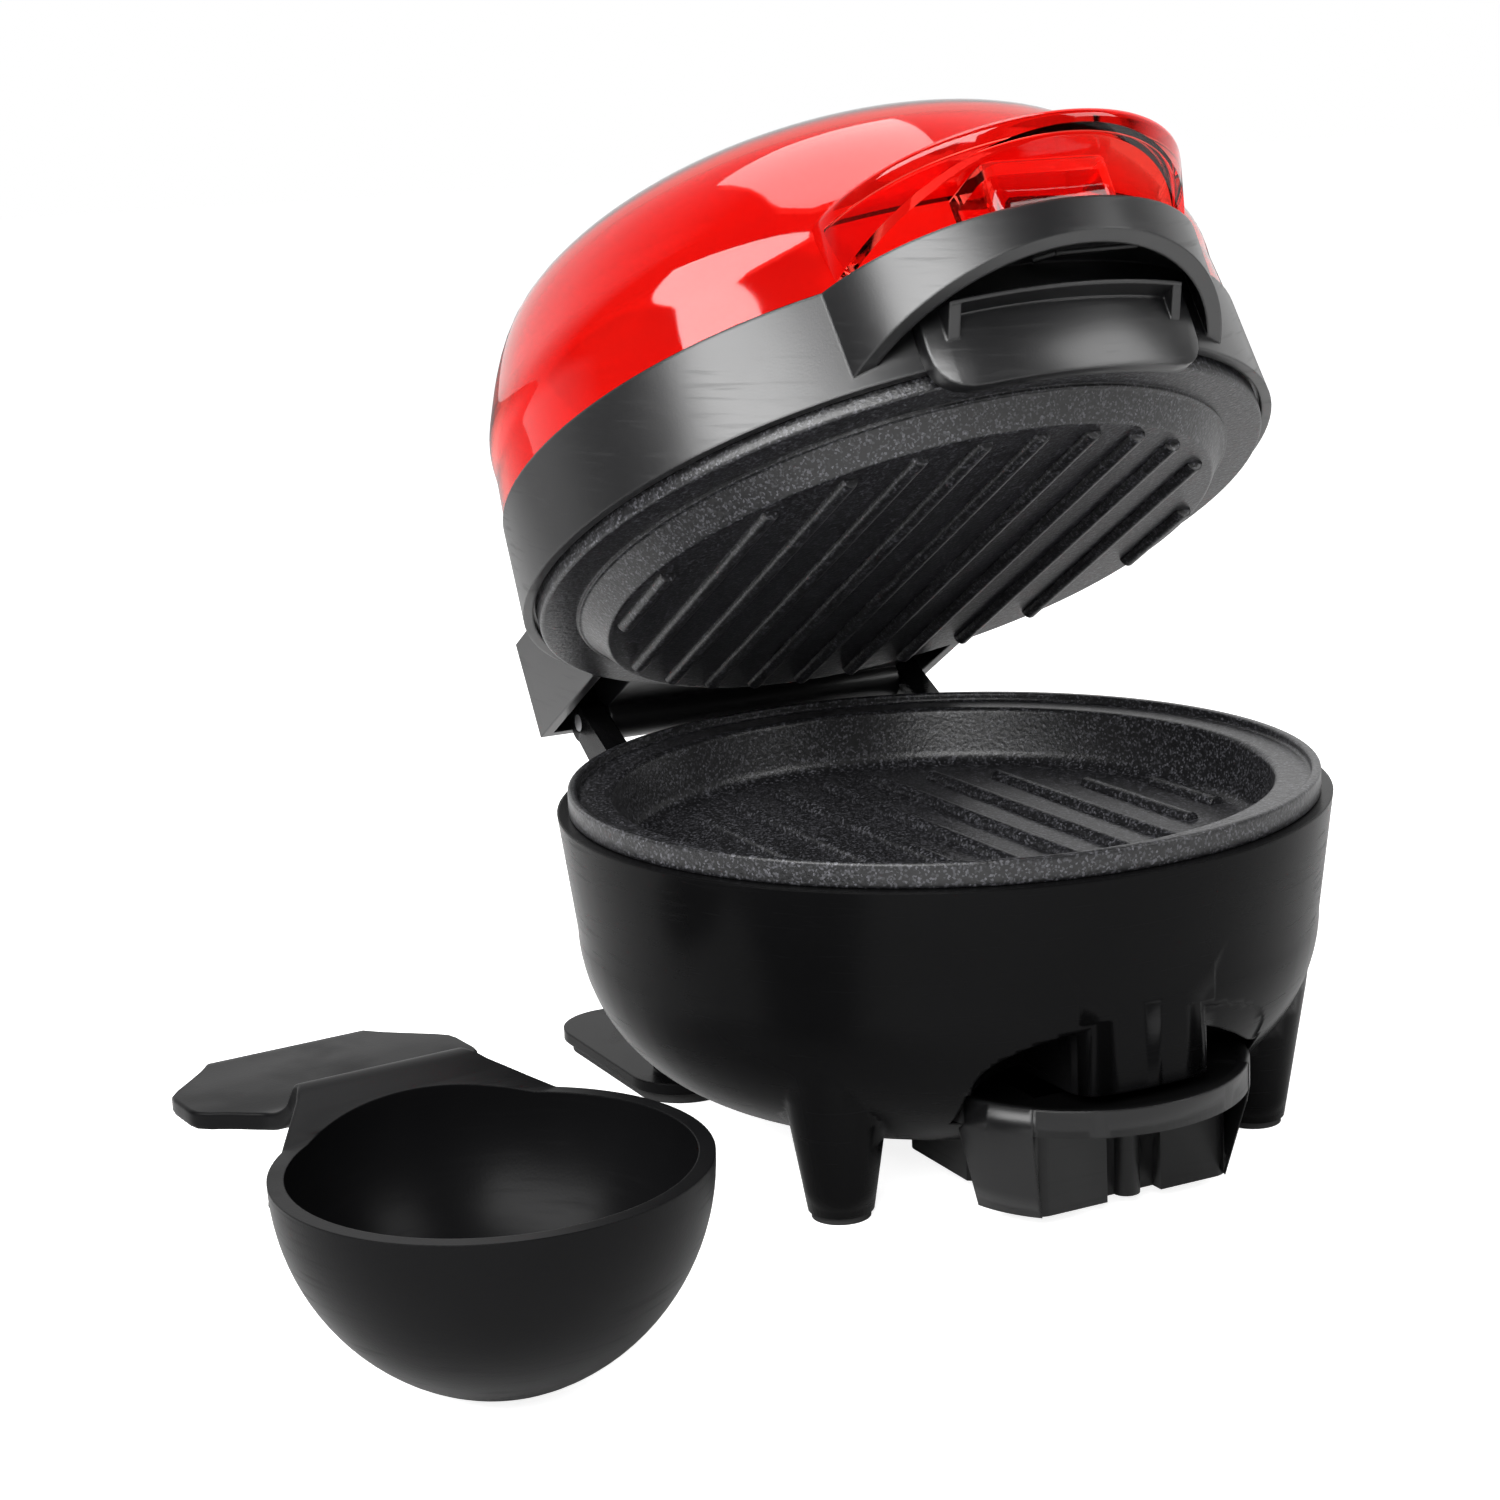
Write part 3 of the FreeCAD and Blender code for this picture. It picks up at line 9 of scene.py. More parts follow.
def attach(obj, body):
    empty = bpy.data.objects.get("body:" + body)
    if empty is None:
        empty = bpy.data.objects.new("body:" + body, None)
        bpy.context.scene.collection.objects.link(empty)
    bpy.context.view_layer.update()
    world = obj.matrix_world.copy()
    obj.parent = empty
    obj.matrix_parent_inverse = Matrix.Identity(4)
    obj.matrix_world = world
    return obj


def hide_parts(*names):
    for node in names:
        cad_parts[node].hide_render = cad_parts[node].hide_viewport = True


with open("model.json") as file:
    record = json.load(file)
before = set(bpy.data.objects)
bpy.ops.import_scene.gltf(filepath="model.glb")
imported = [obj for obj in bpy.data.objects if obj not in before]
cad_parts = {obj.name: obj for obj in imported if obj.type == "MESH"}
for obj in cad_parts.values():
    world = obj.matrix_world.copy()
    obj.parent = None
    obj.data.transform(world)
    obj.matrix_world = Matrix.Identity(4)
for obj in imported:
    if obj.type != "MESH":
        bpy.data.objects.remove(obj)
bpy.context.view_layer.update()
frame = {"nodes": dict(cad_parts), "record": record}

# Shapes are written in millimetres, in the part's frame; finished meshes are scaled to metres.
MM = 0.001
STEPS = 144
ARC_STEPS = 6
SIDE_STEPS = 24
ROD_STEPS = 32
RIB_SIDES = 14
RIB_STEP = 0.55
RIB_TIP = 0.02
JOIN_DISTANCE = 0.0005
SHARP_ANGLE = 38.0
# Cuts run this far past what they cut
OVERRUN = 6.0
nodes = frame["nodes"]

# Lid: drawn closed, then turned open about the hinge like the solids
HINGE_Y = 92.0
RIM_HEIGHT = 77.0
LID_ANGLE = 31.0
HINGE = Vector((0.0, HINGE_Y, RIM_HEIGHT))
OPEN = (
    Matrix.Translation(HINGE)
    @ Matrix.Rotation(math.radians(-LID_ANGLE), 4, "X")
    @ Matrix.Translation(-HINGE)
)
CLOSED = Matrix.Identity(4)

# Camera: place, axes and lens fitted to the two plate rims
CAMERA_PLACE = (-0.3095, -0.5451, 0.2225)
CAMERA_RIGHT = (0.8944, -0.4450, -0.0455)
CAMERA_UP = (0.1370, 0.1757, 0.9749)
CAMERA_BACK = (-0.4258, -0.8781, 0.2181)
CAMERA_LENS = 72.0
CAMERA_SENSOR = 36.0

# Plates
PLATE_RADIUS = 80.0
PLATE_WALL = 4.0
RIB_COUNT = 11
RIB_PITCH = 12.46
RIB_RADIUS = 1.8
RIB_END = 2.2
POST_CIRCLE = 24.0
POST_RADIUS = 4.0
POST_ANGLES = (30.0, 150.0, 270.0)
# Lower plate
PLATE_BAND = 5.0
LIP_WIDTH = 2.0
LEDGE_WIDTH = 7.5
LEDGE_DROP = 2.0
WELL_DEPTH = 15.0
WELL_DRAFT = 2.5
LOWER_FIELD = 54.0
LOWER_POST_DROP = 10.8
SPOUT_REACH = 61.0
SPOUT_RADIUS = 5.0
SPOUT_BORE = 3.5
SPOUT_END = 29.5
# Upper plate
UPPER_FACE = 77.5
UPPER_BAND = 4.5
UPPER_FLANGE = 8.0
PLATEAU_RISE = 6.3
PLATEAU_RADIUS = 67.0
UPPER_FIELD = 63.7
UPPER_POST_RISE = 12.8
FLANGE_STEP = 0.8
# Rounds on the corners of the plates' outlines, by corner
LOWER_ROUNDS = {1: 3.0, 3: 0.6, 4: 0.6, 5: 0.7, 6: 0.8, 7: 1.6, 8: 4.0}
UPPER_ROUNDS = {1: 0.9, 2: 1.0, 3: 0.25, 5: 0.7, 6: 0.5, 7: 1.0, 8: 2.0}

# Warming cover
RING_TOP = 102.0
COVER_BASE = 102.3
COVER_WALL = 2.5
COVER_SHAPE = (
    (81.5, 0.3),
    (80.7, 10.0),
    (79.6, 20.7),
    (69.6, 40.2),
    (50.0, 50.1),
    (26.0, 54.3),
    (0.0, 55.7),
)
COVER_STEPS = 8
HOOD_RADIUS = 40.0
HOOD_CENTRE = 62.0
HOOD_LEAN = 7.0
HOOD_HEIGHT = 15.2
HOOD_ROUND = 2.2
MOUTH_ROOT = 67.8
VISOR_LIP = 2.6
# Lift block of the cover
LIFT_HALF = 14.3
LIFT_FRONT = 94.0
LIFT_CORNER = 3.5
LIFT_EASE = 0.8
LIFT_SINK = 0.4
# Hinge of the cover
COVER_PIN_Y = 88.0
COVER_PIN_RISE = 4.0
COVER_BARREL_RADIUS = 3.0
COVER_BARREL_HALF = 9.5
COVER_BORE = 1.26

# Bowl, and the spout boss between it and its tray dock
BOWL_WAIST = 79.5
WAIST_HEIGHT = 47.0
BOWL_CLEARANCE = 11.0
BOWL_ROUND = 36.0
BOSS_HALF = 15.6
BOSS_FRONT = 80.0
BOSS_BACK = 50.0
BOSS_BULGE = 1.6
BOSS_CORNER = 6.5
BOSS_BOTTOM = 28.0
BOSS_TOP = 45.6
BOSS_SKIN = 2.6
BOSS_SKIN_TOP = 51.0
BOSS_BORE = 5.6
# Lower edge of the bowl's front over the tray, and the slice of wall that closes it
ARCH_FOOT = 26.5
ARCH_TOP = 46.0
ARCH_EDGE = (
    (-16.5, 41.2),
    (-12.0, 41.8),
    (12.0, 38.0),
    (18.0, 35.6),
    (24.0, 32.6),
    (30.0, 29.0),
    (33.0, 27.8),
    (36.5, 27.6),
)
ARCH_WALL = 2.4
ARCH_SINK = 0.05

# Corner walls of the drip tray, on arcs about its nose: x of the left wall's ends, then (height, radius)
TRAY_GAP = 0.8
TRAY_CENTRE = 52.6
TRAY_WALL_ENDS = (-25.2, -33.2)
TRAY_WALL_LEVELS = (
    (3.0, 29.2),
    (8.0, 30.6),
    (14.0, 32.3),
    (18.5, 33.6),
    (21.4, 34.12),
    (26.9, 34.12),
)

# Grip panel with its finger blade
PANEL_INNER = 83.0
PANEL_OUTER = 86.3
PANEL_HALF = 30.0
PANEL_BOTTOM = 74.0
PANEL_TOP = 91.0
PANEL_CORNER = 9.0
PANEL_EASE = 0.7
BLADE_HALF = 26.0
BLADE_CHEEK = 2.2
BLADE_SHAPE = ((84.0, 91.0), (86.3, 91.0), (90.4, 90.3), (91.0, 89.8), (90.6, 89.3), (84.0, 88.6))
CHEEK_SHAPE = ((84.0, 90.4), (90.0, 89.8), (90.4, 89.2), (86.6, 84.2), (84.0, 84.2))

# Short ribs on the ceiling of the beak
BEAK_CEILING = 99.0
BEAK_RIB_RADIUS = 0.9
BEAK_RIBS = (((-3.0, -83.5), (1.0, -85.6), (19.0, -86.4)), ((14.8, -92.1), (24.7, -89.8)))

# Grease cup
CUP_PLACE = (-137.0, -79.0, 0.0)
CUP_TURN = 5.0
CUP_RADIUS = 39.0
CUP_DEPTH = 41.0
CUP_FOOT = 8.0
CUP_WALL = 3.0
CUP_RIM_ROUND = 1.3
CUP_RIM_STEPS = 4
CUP_SOFT_ANGLE = 60.0
HANDLE_TOP = (
    (17.0, 38.2),
    (28.0, 41.0),
    (38.0, 44.6),
    (43.0, 46.3),
    (46.5, 46.0),
    (49.5, 43.2),
    (52.5, 39.8),
    (56.5, 38.2),
    (64.0, 38.0),
    (78.0, 38.0),
    (92.0, 38.0),
)
HANDLE_HALF = (
    (17.0, 35.0),
    (30.0, 26.4),
    (40.0, 19.4),
    (44.5, 17.2),
    (51.0, 17.0),
    (57.0, 19.6),
    (61.5, 24.4),
    (65.0, 29.2),
    (67.0, 30.0),
    (77.0, 30.0),
    (79.0, 29.2),
    (84.0, 24.2),
    (89.0, 19.4),
    (92.0, 17.2),
)
HANDLE_THICKNESS = 3.4
HANDLE_EASE = 0.8

# Stage, in metres: floor, backdrop and room, then each lamp's place, target, size and watts
FLOOR_HALF = 6.0
FLOOR_TONE = 0.7
FLOOR_LIFT = 0.86
ROOM_LIGHT = 0.3
ROOM_DARK = 0.035
BACKDROP_WAY = (0.436, 0.899, 0.0)
BACKDROP_EDGE = (0.1, 0.6)
LAMPS = {
    "front_left_box": ((-0.85, -0.53, 0.8), (0.0, 0.0, 0.13), (1.5, 0.6), 30.0),
    "right_box": ((0.75, -0.75, 0.75), (0.0, 0.0, 0.12), (0.6, 0.5), 5.0),
    "top_box": ((0.0, 0.2, 1.2), (0.0, 0.0, 0.1), (0.7, 0.7), 8.0),
}


# Camera


def add_camera():
    data = bpy.data.cameras.new("camera")
    data.lens = CAMERA_LENS
    data.sensor_width = CAMERA_SENSOR
    camera = bpy.data.objects.new("camera", data)
    turn = Matrix((CAMERA_RIGHT, CAMERA_UP, CAMERA_BACK)).transposed()
    camera.matrix_world = Matrix.Translation(CAMERA_PLACE) @ turn.to_quaternion().to_matrix().to_4x4()
    bpy.context.scene.collection.objects.link(camera)
    bpy.context.scene.camera = camera


# Outlines


def eased(points, rounds, closed=False):
    """The outline with each corner turned into an arc of its own radius."""
    result = []
    count = len(points)
    for index, point in enumerate(points):
        here = Vector(point)
        radius = rounds.get(index, 0.0)
        if radius == 0.0 or (not closed and index in (0, count - 1)):
            result.append(here)
            continue
        before = Vector(points[index - 1]) - here
        after = Vector(points[(index + 1) % count]) - here
        angle = before.angle(after)
        cut = min(radius / math.tan(angle / 2), before.length * 0.49, after.length * 0.49)
        start = here + before.normalized() * cut
        end = here + after.normalized() * cut
        for step in range(ARC_STEPS + 1):
            share = step / ARC_STEPS
            result.append(start.lerp(here, share).lerp(here.lerp(end, share), share))
    return [tuple(point) for point in result]


def smooth_through(lead, points, trail, steps):
    """A smooth line through the points; lead and trail set how it leaves its two ends."""
    knots = [Vector(point) for point in (lead, *points, trail)]
    line = []
    for index in range(1, len(knots) - 2):
        a, b, c, d = knots[index - 1 : index + 3]
        bend = 2 * a - 5 * b + 4 * c - d
        twist = 3 * b - a - 3 * c + d
        for step in range(steps):
            t = step / steps
            line.append(0.5 * (2 * b + (c - a) * t + bend * t**2 + twist * t**3))
    line.append(knots[-2])
    return line


def inset(line, depth):
    """The line moved inwards by a wall's thickness."""
    moved = []
    for index, point in enumerate(line):
        before = line[max(index - 1, 0)]
        after = line[min(index + 1, len(line) - 1)]
        along = (after - before).normalized()
        moved.append(point + Vector((-along.y, along.x)) * depth)
    moved[-1].x = 0.0
    return moved


# Meshes


def item_of(name, mesh):
    """An item on a mesh whose doubled points are joined and whose faces look outward."""
    bm = bmesh.new()
    bm.from_mesh(mesh)
    bmesh.ops.remove_doubles(bm, verts=bm.verts, dist=JOIN_DISTANCE)
    bmesh.ops.recalc_face_normals(bm, faces=bm.faces)
    bm.to_mesh(mesh)
    bm.free()
    item = bpy.data.objects.new(name, mesh)
    bpy.context.scene.collection.objects.link(item)
    return item


def new_item(name, verts, faces):
    mesh = bpy.data.meshes.new(name)
    mesh.from_pydata(verts, [], faces)
    return item_of(name, mesh)


def turned(name, profile, steps=STEPS):
    """A closed shape turned about the Z axis from (radius, height) points."""
    verts = []
    faces = []
    count = len(profile)
    for step in range(steps):
        angle = math.tau * step / steps
        for radius, height in profile:
            verts.append((radius * math.cos(angle), radius * math.sin(angle), height))
    on_axis = profile[0][0] == 0.0 and profile[-1][0] == 0.0
    for step in range(steps):
        here = step * count
        there = (step + 1) % steps * count
        for index in range(count if not on_axis else count - 1):
            after = (index + 1) % count
            faces.append((here + index, there + index, there + after, here + after))
    return new_item(name, verts, faces)


def stacked(name, sections):
    """A closed shape through sections with equal point counts, capped at both ends."""
    verts = [point for section in sections for point in section]
    count = len(sections[0])
    faces = [tuple(range(count)), tuple(range(len(verts) - count, len(verts)))]
    for level in range(len(sections) - 1):
        for index in range(count):
            after = (index + 1) % count
            low = level * count
            faces.append((low + index, low + after, low + count + after, low + count + index))
    return new_item(name, verts, faces)


def raised(name, outline, bottom, top):
    """An upright prism on a plan outline."""
    return stacked(name, [[(x, y, level) for x, y in outline] for level in (bottom, top)])


def rod(name, radius, start, end, steps=ROD_STEPS):
    start, end = Vector(start), Vector(end)
    turn = (end - start).to_track_quat("Z", "Y")
    ring = [
        turn @ Vector((radius * math.cos(math.tau * i / steps), radius * math.sin(math.tau * i / steps), 0.0))
        for i in range(steps)
    ]
    return stacked(name, [[start + point for point in ring], [end + point for point in ring]])


def worked_in(item):
    """The item with its modifiers made part of its mesh."""
    graph = bpy.context.evaluated_depsgraph_get()
    mesh = bpy.data.meshes.new_from_object(item.evaluated_get(graph))
    item.modifiers.clear()
    old = item.data
    item.data = mesh
    bpy.data.meshes.remove(old)
    return item


def merge(base, tool, operation):
    modifier = base.modifiers.new("merge", "BOOLEAN")
    modifier.operation = operation
    modifier.solver = "EXACT"
    modifier.object = tool
    worked_in(base)
    bpy.data.meshes.remove(tool.data)
    return base


def with_added(base, *tools):
    for tool in tools:
        merge(base, tool, "UNION")
    return base


def with_cuts(base, *tools):
    for tool in tools:
        merge(base, tool, "DIFFERENCE")
    return base


def kept_within(base, window):
    return merge(base, window, "INTERSECT")


def copy_of(name):
    """A copy of a solid's mesh, in millimetres, to work on."""
    source = nodes[name]
    mesh = source.data.copy()
    mesh.transform(Matrix.Scale(1.0 / MM, 4) @ source.matrix_world)
    return item_of(f"{name}_finished", mesh)


def soften(item, width, segments=2, angle=35.0):
    modifier = item.modifiers.new("soften", "BEVEL")
    modifier.width = width
    modifier.segments = segments
    modifier.limit_method = "ANGLE"
    modifier.angle_limit = math.radians(angle)
    return worked_in(item)


def grouped(base, *others):
    """Separate closed shapes kept in one mesh."""
    bm = bmesh.new()
    for item in (base, *others):
        bm.from_mesh(item.data)
    bm.to_mesh(base.data)
    bm.free()
    for item in others:
        bpy.data.meshes.remove(item.data)
    return base


def hand_over(item, body, material, place, sharp=SHARP_ANGLE, stands_for=()):
    """Puts a finished shape in its place and has it ride on its body."""
    mesh = item.data
    mesh.transform(Matrix.Scale(MM, 4) @ place)
    mesh.materials.clear()
    mesh.materials.append(material)
    mesh.polygons.foreach_set("use_smooth", [True] * len(mesh.polygons))
    mesh.set_sharp_from_angle(angle=math.radians(sharp))
    mesh.update()
    if stands_for:
        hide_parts(*stands_for)
    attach(item, body)


# Node trees


def tree_of(name):
    material = bpy.data.materials.new(name)
    material.use_nodes = True
    tree = material.node_tree
    return material, tree, tree.nodes["Principled BSDF"]


def add_node(tree, kind, settings=None, inputs=None):
    item = tree.nodes.new(kind)
    for key, value in (settings or {}).items():
        setattr(item, key, value)
    for key, value in (inputs or {}).items():
        if isinstance(value, bpy.types.NodeSocket):
            tree.links.new(value, item.inputs[key])
        else:
            item.inputs[key].default_value = value
    return item


def add_math(tree, operation, *values):
    return add_node(tree, "ShaderNodeMath", {"operation": operation}, dict(enumerate(values))).outputs[0]


def group_of(name, kind, inputs, outputs):
    group = bpy.data.node_groups.new(name, kind)
    for label, socket_kind, value in inputs:
        socket = group.interface.new_socket(label, in_out="INPUT", socket_type=socket_kind)
        if value is not None:
            socket.default_value = value
    for label, socket_kind in outputs:
        group.interface.new_socket(label, in_out="OUTPUT", socket_type=socket_kind)
    return group, group.nodes.new("NodeGroupInput"), group.nodes.new("NodeGroupOutput")


# Finishes


def moulded_group():
    """Grain, faint handling marks and slow tone changes of moulded plastic."""
    group, given, result = group_of(
        "moulded_finish",
        "ShaderNodeTree",
        [
            ("Tint", "NodeSocketColor", (0.02, 0.02, 0.02, 1.0)),
            ("Roughness", "NodeSocketFloat", 0.4),
            ("Grain Scale", "NodeSocketFloat", 2200.0),
            ("Variation", "NodeSocketFloat", 0.4),
        ],
        [("Color", "NodeSocketColor"), ("Roughness", "NodeSocketFloat"), ("Height", "NodeSocketFloat")],
    )
    coords = add_node(group, "ShaderNodeTexCoord").outputs["Object"]
    cloud = add_node(group, "ShaderNodeTexNoise", inputs={"Vector": coords, "Scale": 45.0, "Detail": 5.0})
    grain = add_node(
        group,
        "ShaderNodeTexNoise",
        inputs={"Vector": coords, "Scale": given.outputs["Grain Scale"], "Detail": 2.0},
    )
    stretch = add_node(group, "ShaderNodeMapping", inputs={"Vector": coords, "Scale": (60.0, 60.0, 900.0)})
    rub = add_node(
        group, "ShaderNodeTexNoise", inputs={"Vector": stretch.outputs[0], "Scale": 1.0, "Detail": 6.0}
    )
    marks = add_node(
        group,
        "ShaderNodeMapRange",
        inputs={"Value": rub.outputs["Fac"], "From Min": 0.55, "From Max": 0.75, "To Max": 0.1},
    )
    shift = add_math(group, "MULTIPLY_ADD", cloud.outputs["Fac"], given.outputs["Variation"], 0.8)
    tone = add_node(
        group, "ShaderNodeVectorMath", {"operation": "SCALE"}, {0: given.outputs["Tint"], "Scale": shift}
    )
    soft = add_math(group, "MULTIPLY_ADD", cloud.outputs["Fac"], 0.12, given.outputs["Roughness"])
    rough = add_math(group, "ADD", soft, marks.outputs["Result"])
    group.links.new(tone.outputs[0], result.inputs["Color"])
    group.links.new(rough, result.inputs["Roughness"])
    group.links.new(grain.outputs["Fac"], result.inputs["Height"])
    return group


MOULDED = moulded_group()


def moulded_plastic(name, tint, roughness, bump, edge, specular=0.5):
    """Moulded plastic whose sharp edges are eased by a small round."""
    material, tree, shader = tree_of(name)
    finish = add_node(
        tree, "ShaderNodeGroup", {"node_tree": MOULDED}, {"Tint": (*tint, 1.0), "Roughness": roughness}
    )
    edges = add_node(tree, "ShaderNodeBevel", {"samples": 4}, {"Radius": edge * MM})
    relief = add_node(
        tree,
        "ShaderNodeBump",
        inputs={
            "Strength": bump,
            "Distance": 0.00005,
            "Height": finish.outputs["Height"],
            "Normal": edges.outputs[0],
        },
    )
    tree.links.new(finish.outputs["Color"], shader.inputs["Base Color"])
    tree.links.new(finish.outputs["Roughness"], shader.inputs["Roughness"])
    tree.links.new(relief.outputs[0], shader.inputs["Normal"])
    shader.inputs["Specular IOR Level"].default_value = specular
    return material


def clear_red():
    """Tinted clear plastic: deeper and lighter in slow clouds, with faint flow marks."""
    material, tree, shader = tree_of("clear_red")
    coords = add_node(tree, "ShaderNodeTexCoord").outputs["Object"]
    cloud = add_node(tree, "ShaderNodeTexNoise", inputs={"Vector": coords, "Scale": 25.0, "Detail": 3.0})
    tint = add_node(tree, "ShaderNodeValToRGB", inputs={"Fac": cloud.outputs["Fac"]})
    tint.color_ramp.elements[0].position = 0.3
    tint.color_ramp.elements[0].color = (0.86, 0.045, 0.035, 1.0)
    tint.color_ramp.elements[1].position = 0.7
    tint.color_ramp.elements[1].color = (0.92, 0.075, 0.05, 1.0)
    flow = add_node(tree, "ShaderNodeTexNoise", inputs={"Vector": coords, "Scale": 140.0, "Detail": 3.0})
    rough = add_node(
        tree, "ShaderNodeMapRange", inputs={"Value": flow.outputs["Fac"], "To Min": 0.02, "To Max": 0.07}
    )
    tree.links.new(tint.outputs["Color"], shader.inputs["Base Color"])
    tree.links.new(rough.outputs["Result"], shader.inputs["Roughness"])
    shader.inputs["Transmission Weight"].default_value = 1.0
    shader.inputs["IOR"].default_value = 1.45
    return material


def coated_metal():
    """Cast metal under a dark speckled coating with a fine orange peel."""
    material, tree, shader = tree_of("coated_plate")
    coords = add_node(tree, "ShaderNodeTexCoord").outputs["Object"]
    flake = add_node(tree, "ShaderNodeTexVoronoi", inputs={"Vector": coords, "Scale": 2300.0})
    pick = add_node(tree, "ShaderNodeValToRGB", inputs={"Fac": flake.outputs["Color"]})
    pick.color_ramp.elements[0].position = 0.6
    pick.color_ramp.elements[0].color = (0.008, 0.008, 0.0088, 1.0)
    pick.color_ramp.elements[1].color = (0.1, 0.1, 0.112, 1.0)
    peel = add_node(tree, "ShaderNodeTexNoise", inputs={"Vector": coords, "Scale": 1100.0, "Detail": 3.0})
    edges = add_node(tree, "ShaderNodeBevel", {"samples": 4}, {"Radius": 0.6 * MM})
    relief = add_node(
        tree,
        "ShaderNodeBump",
        inputs={
            "Strength": 0.5,
            "Distance": 0.0002,
            "Height": peel.outputs["Fac"],
            "Normal": edges.outputs[0],
        },
    )
    rough = add_node(
        tree, "ShaderNodeMapRange", inputs={"Value": peel.outputs["Fac"], "To Min": 0.24, "To Max": 0.42}
    )
    tree.links.new(pick.outputs["Color"], shader.inputs["Base Color"])
    tree.links.new(rough.outputs["Result"], shader.inputs["Roughness"])
    tree.links.new(relief.outputs[0], shader.inputs["Normal"])
    return material


def plain_metal(name, tint, roughness):
    material, tree, shader = tree_of(name)
    coords = add_node(tree, "ShaderNodeTexCoord").outputs["Object"]
    cloud = add_node(tree, "ShaderNodeTexNoise", inputs={"Vector": coords, "Scale": 120.0, "Detail": 5.0})
    spread = add_node(
        tree,
        "ShaderNodeMapRange",
        inputs={"Value": cloud.outputs["Fac"], "To Min": roughness, "To Max": roughness + 0.18},
    )
    shade = add_node(tree, "ShaderNodeValToRGB", inputs={"Fac": cloud.outputs["Fac"]})
    shade.color_ramp.elements[0].color = (*(0.9 * part for part in tint), 1.0)
    shade.color_ramp.elements[1].color = (*tint, 1.0)
    tree.links.new(spread.outputs["Result"], shader.inputs["Roughness"])
    tree.links.new(shade.outputs["Color"], shader.inputs["Base Color"])
    shader.inputs["Metallic"].default_value = 1.0
    return material


BLACK = moulded_plastic(
    "satin_black",
    tint=(0.003, 0.003, 0.0032),
    roughness=0.18,
    bump=0.2,
    edge=0.7,
    specular=0.05,
)
TRAY_BLACK = moulded_plastic(
    "tray_black",
    tint=(0.005, 0.005, 0.0053),
    roughness=0.24,
    bump=0.2,
    edge=0.7,
    specular=0.36,
)
LID_BLACK = moulded_plastic(
    "lid_black",
    tint=(0.006, 0.006, 0.0065),
    roughness=0.24,
    bump=0.2,
    edge=0.7,
    specular=0.7,
)
CUP_BLACK = moulded_plastic(
    "cup_black",
    tint=(0.0035, 0.0035, 0.0038),
    roughness=0.28,
    bump=0.3,
    edge=0.4,
    specular=0.07,
)
RUBBER = moulded_plastic("soft_rubber", tint=(0.016, 0.016, 0.016), roughness=0.7, bump=0.5, edge=0.4)
IVORY = moulded_plastic("ivory_plastic", tint=(0.6, 0.57, 0.5), roughness=0.5, bump=0.2, edge=0.3)
SLEEVE = moulded_plastic("sleeve_white", tint=(0.75, 0.73, 0.68), roughness=0.75, bump=0.6, edge=0.2)
RED = clear_red()
COATED = coated_metal()
BRIGHT = plain_metal("bright_sheet", tint=(0.85, 0.85, 0.86), roughness=0.25)
STEEL = plain_metal("plain_steel", tint=(0.55, 0.55, 0.57), roughness=0.3)
FINISHES = {
    "black_shell": BLACK,
    "clear_red": RED,
    "coated_plate": COATED,
    "bright_sheet": BRIGHT,
    "steel": STEEL,
    "soft_foot": RUBBER,
    "terminal_plastic": IVORY,
    "sleeve": SLEEVE,
}
OWN_FINISHES = {"lid_ring": LID_BLACK}


def dress_nodes():
    for entry in frame["record"]["subparts"]:
        mesh = nodes[entry["node"]].data
        mesh.materials.clear()
        mesh.materials.append(OWN_FINISHES.get(entry["node"], FINISHES[entry["material_slot"]]))


# Plates


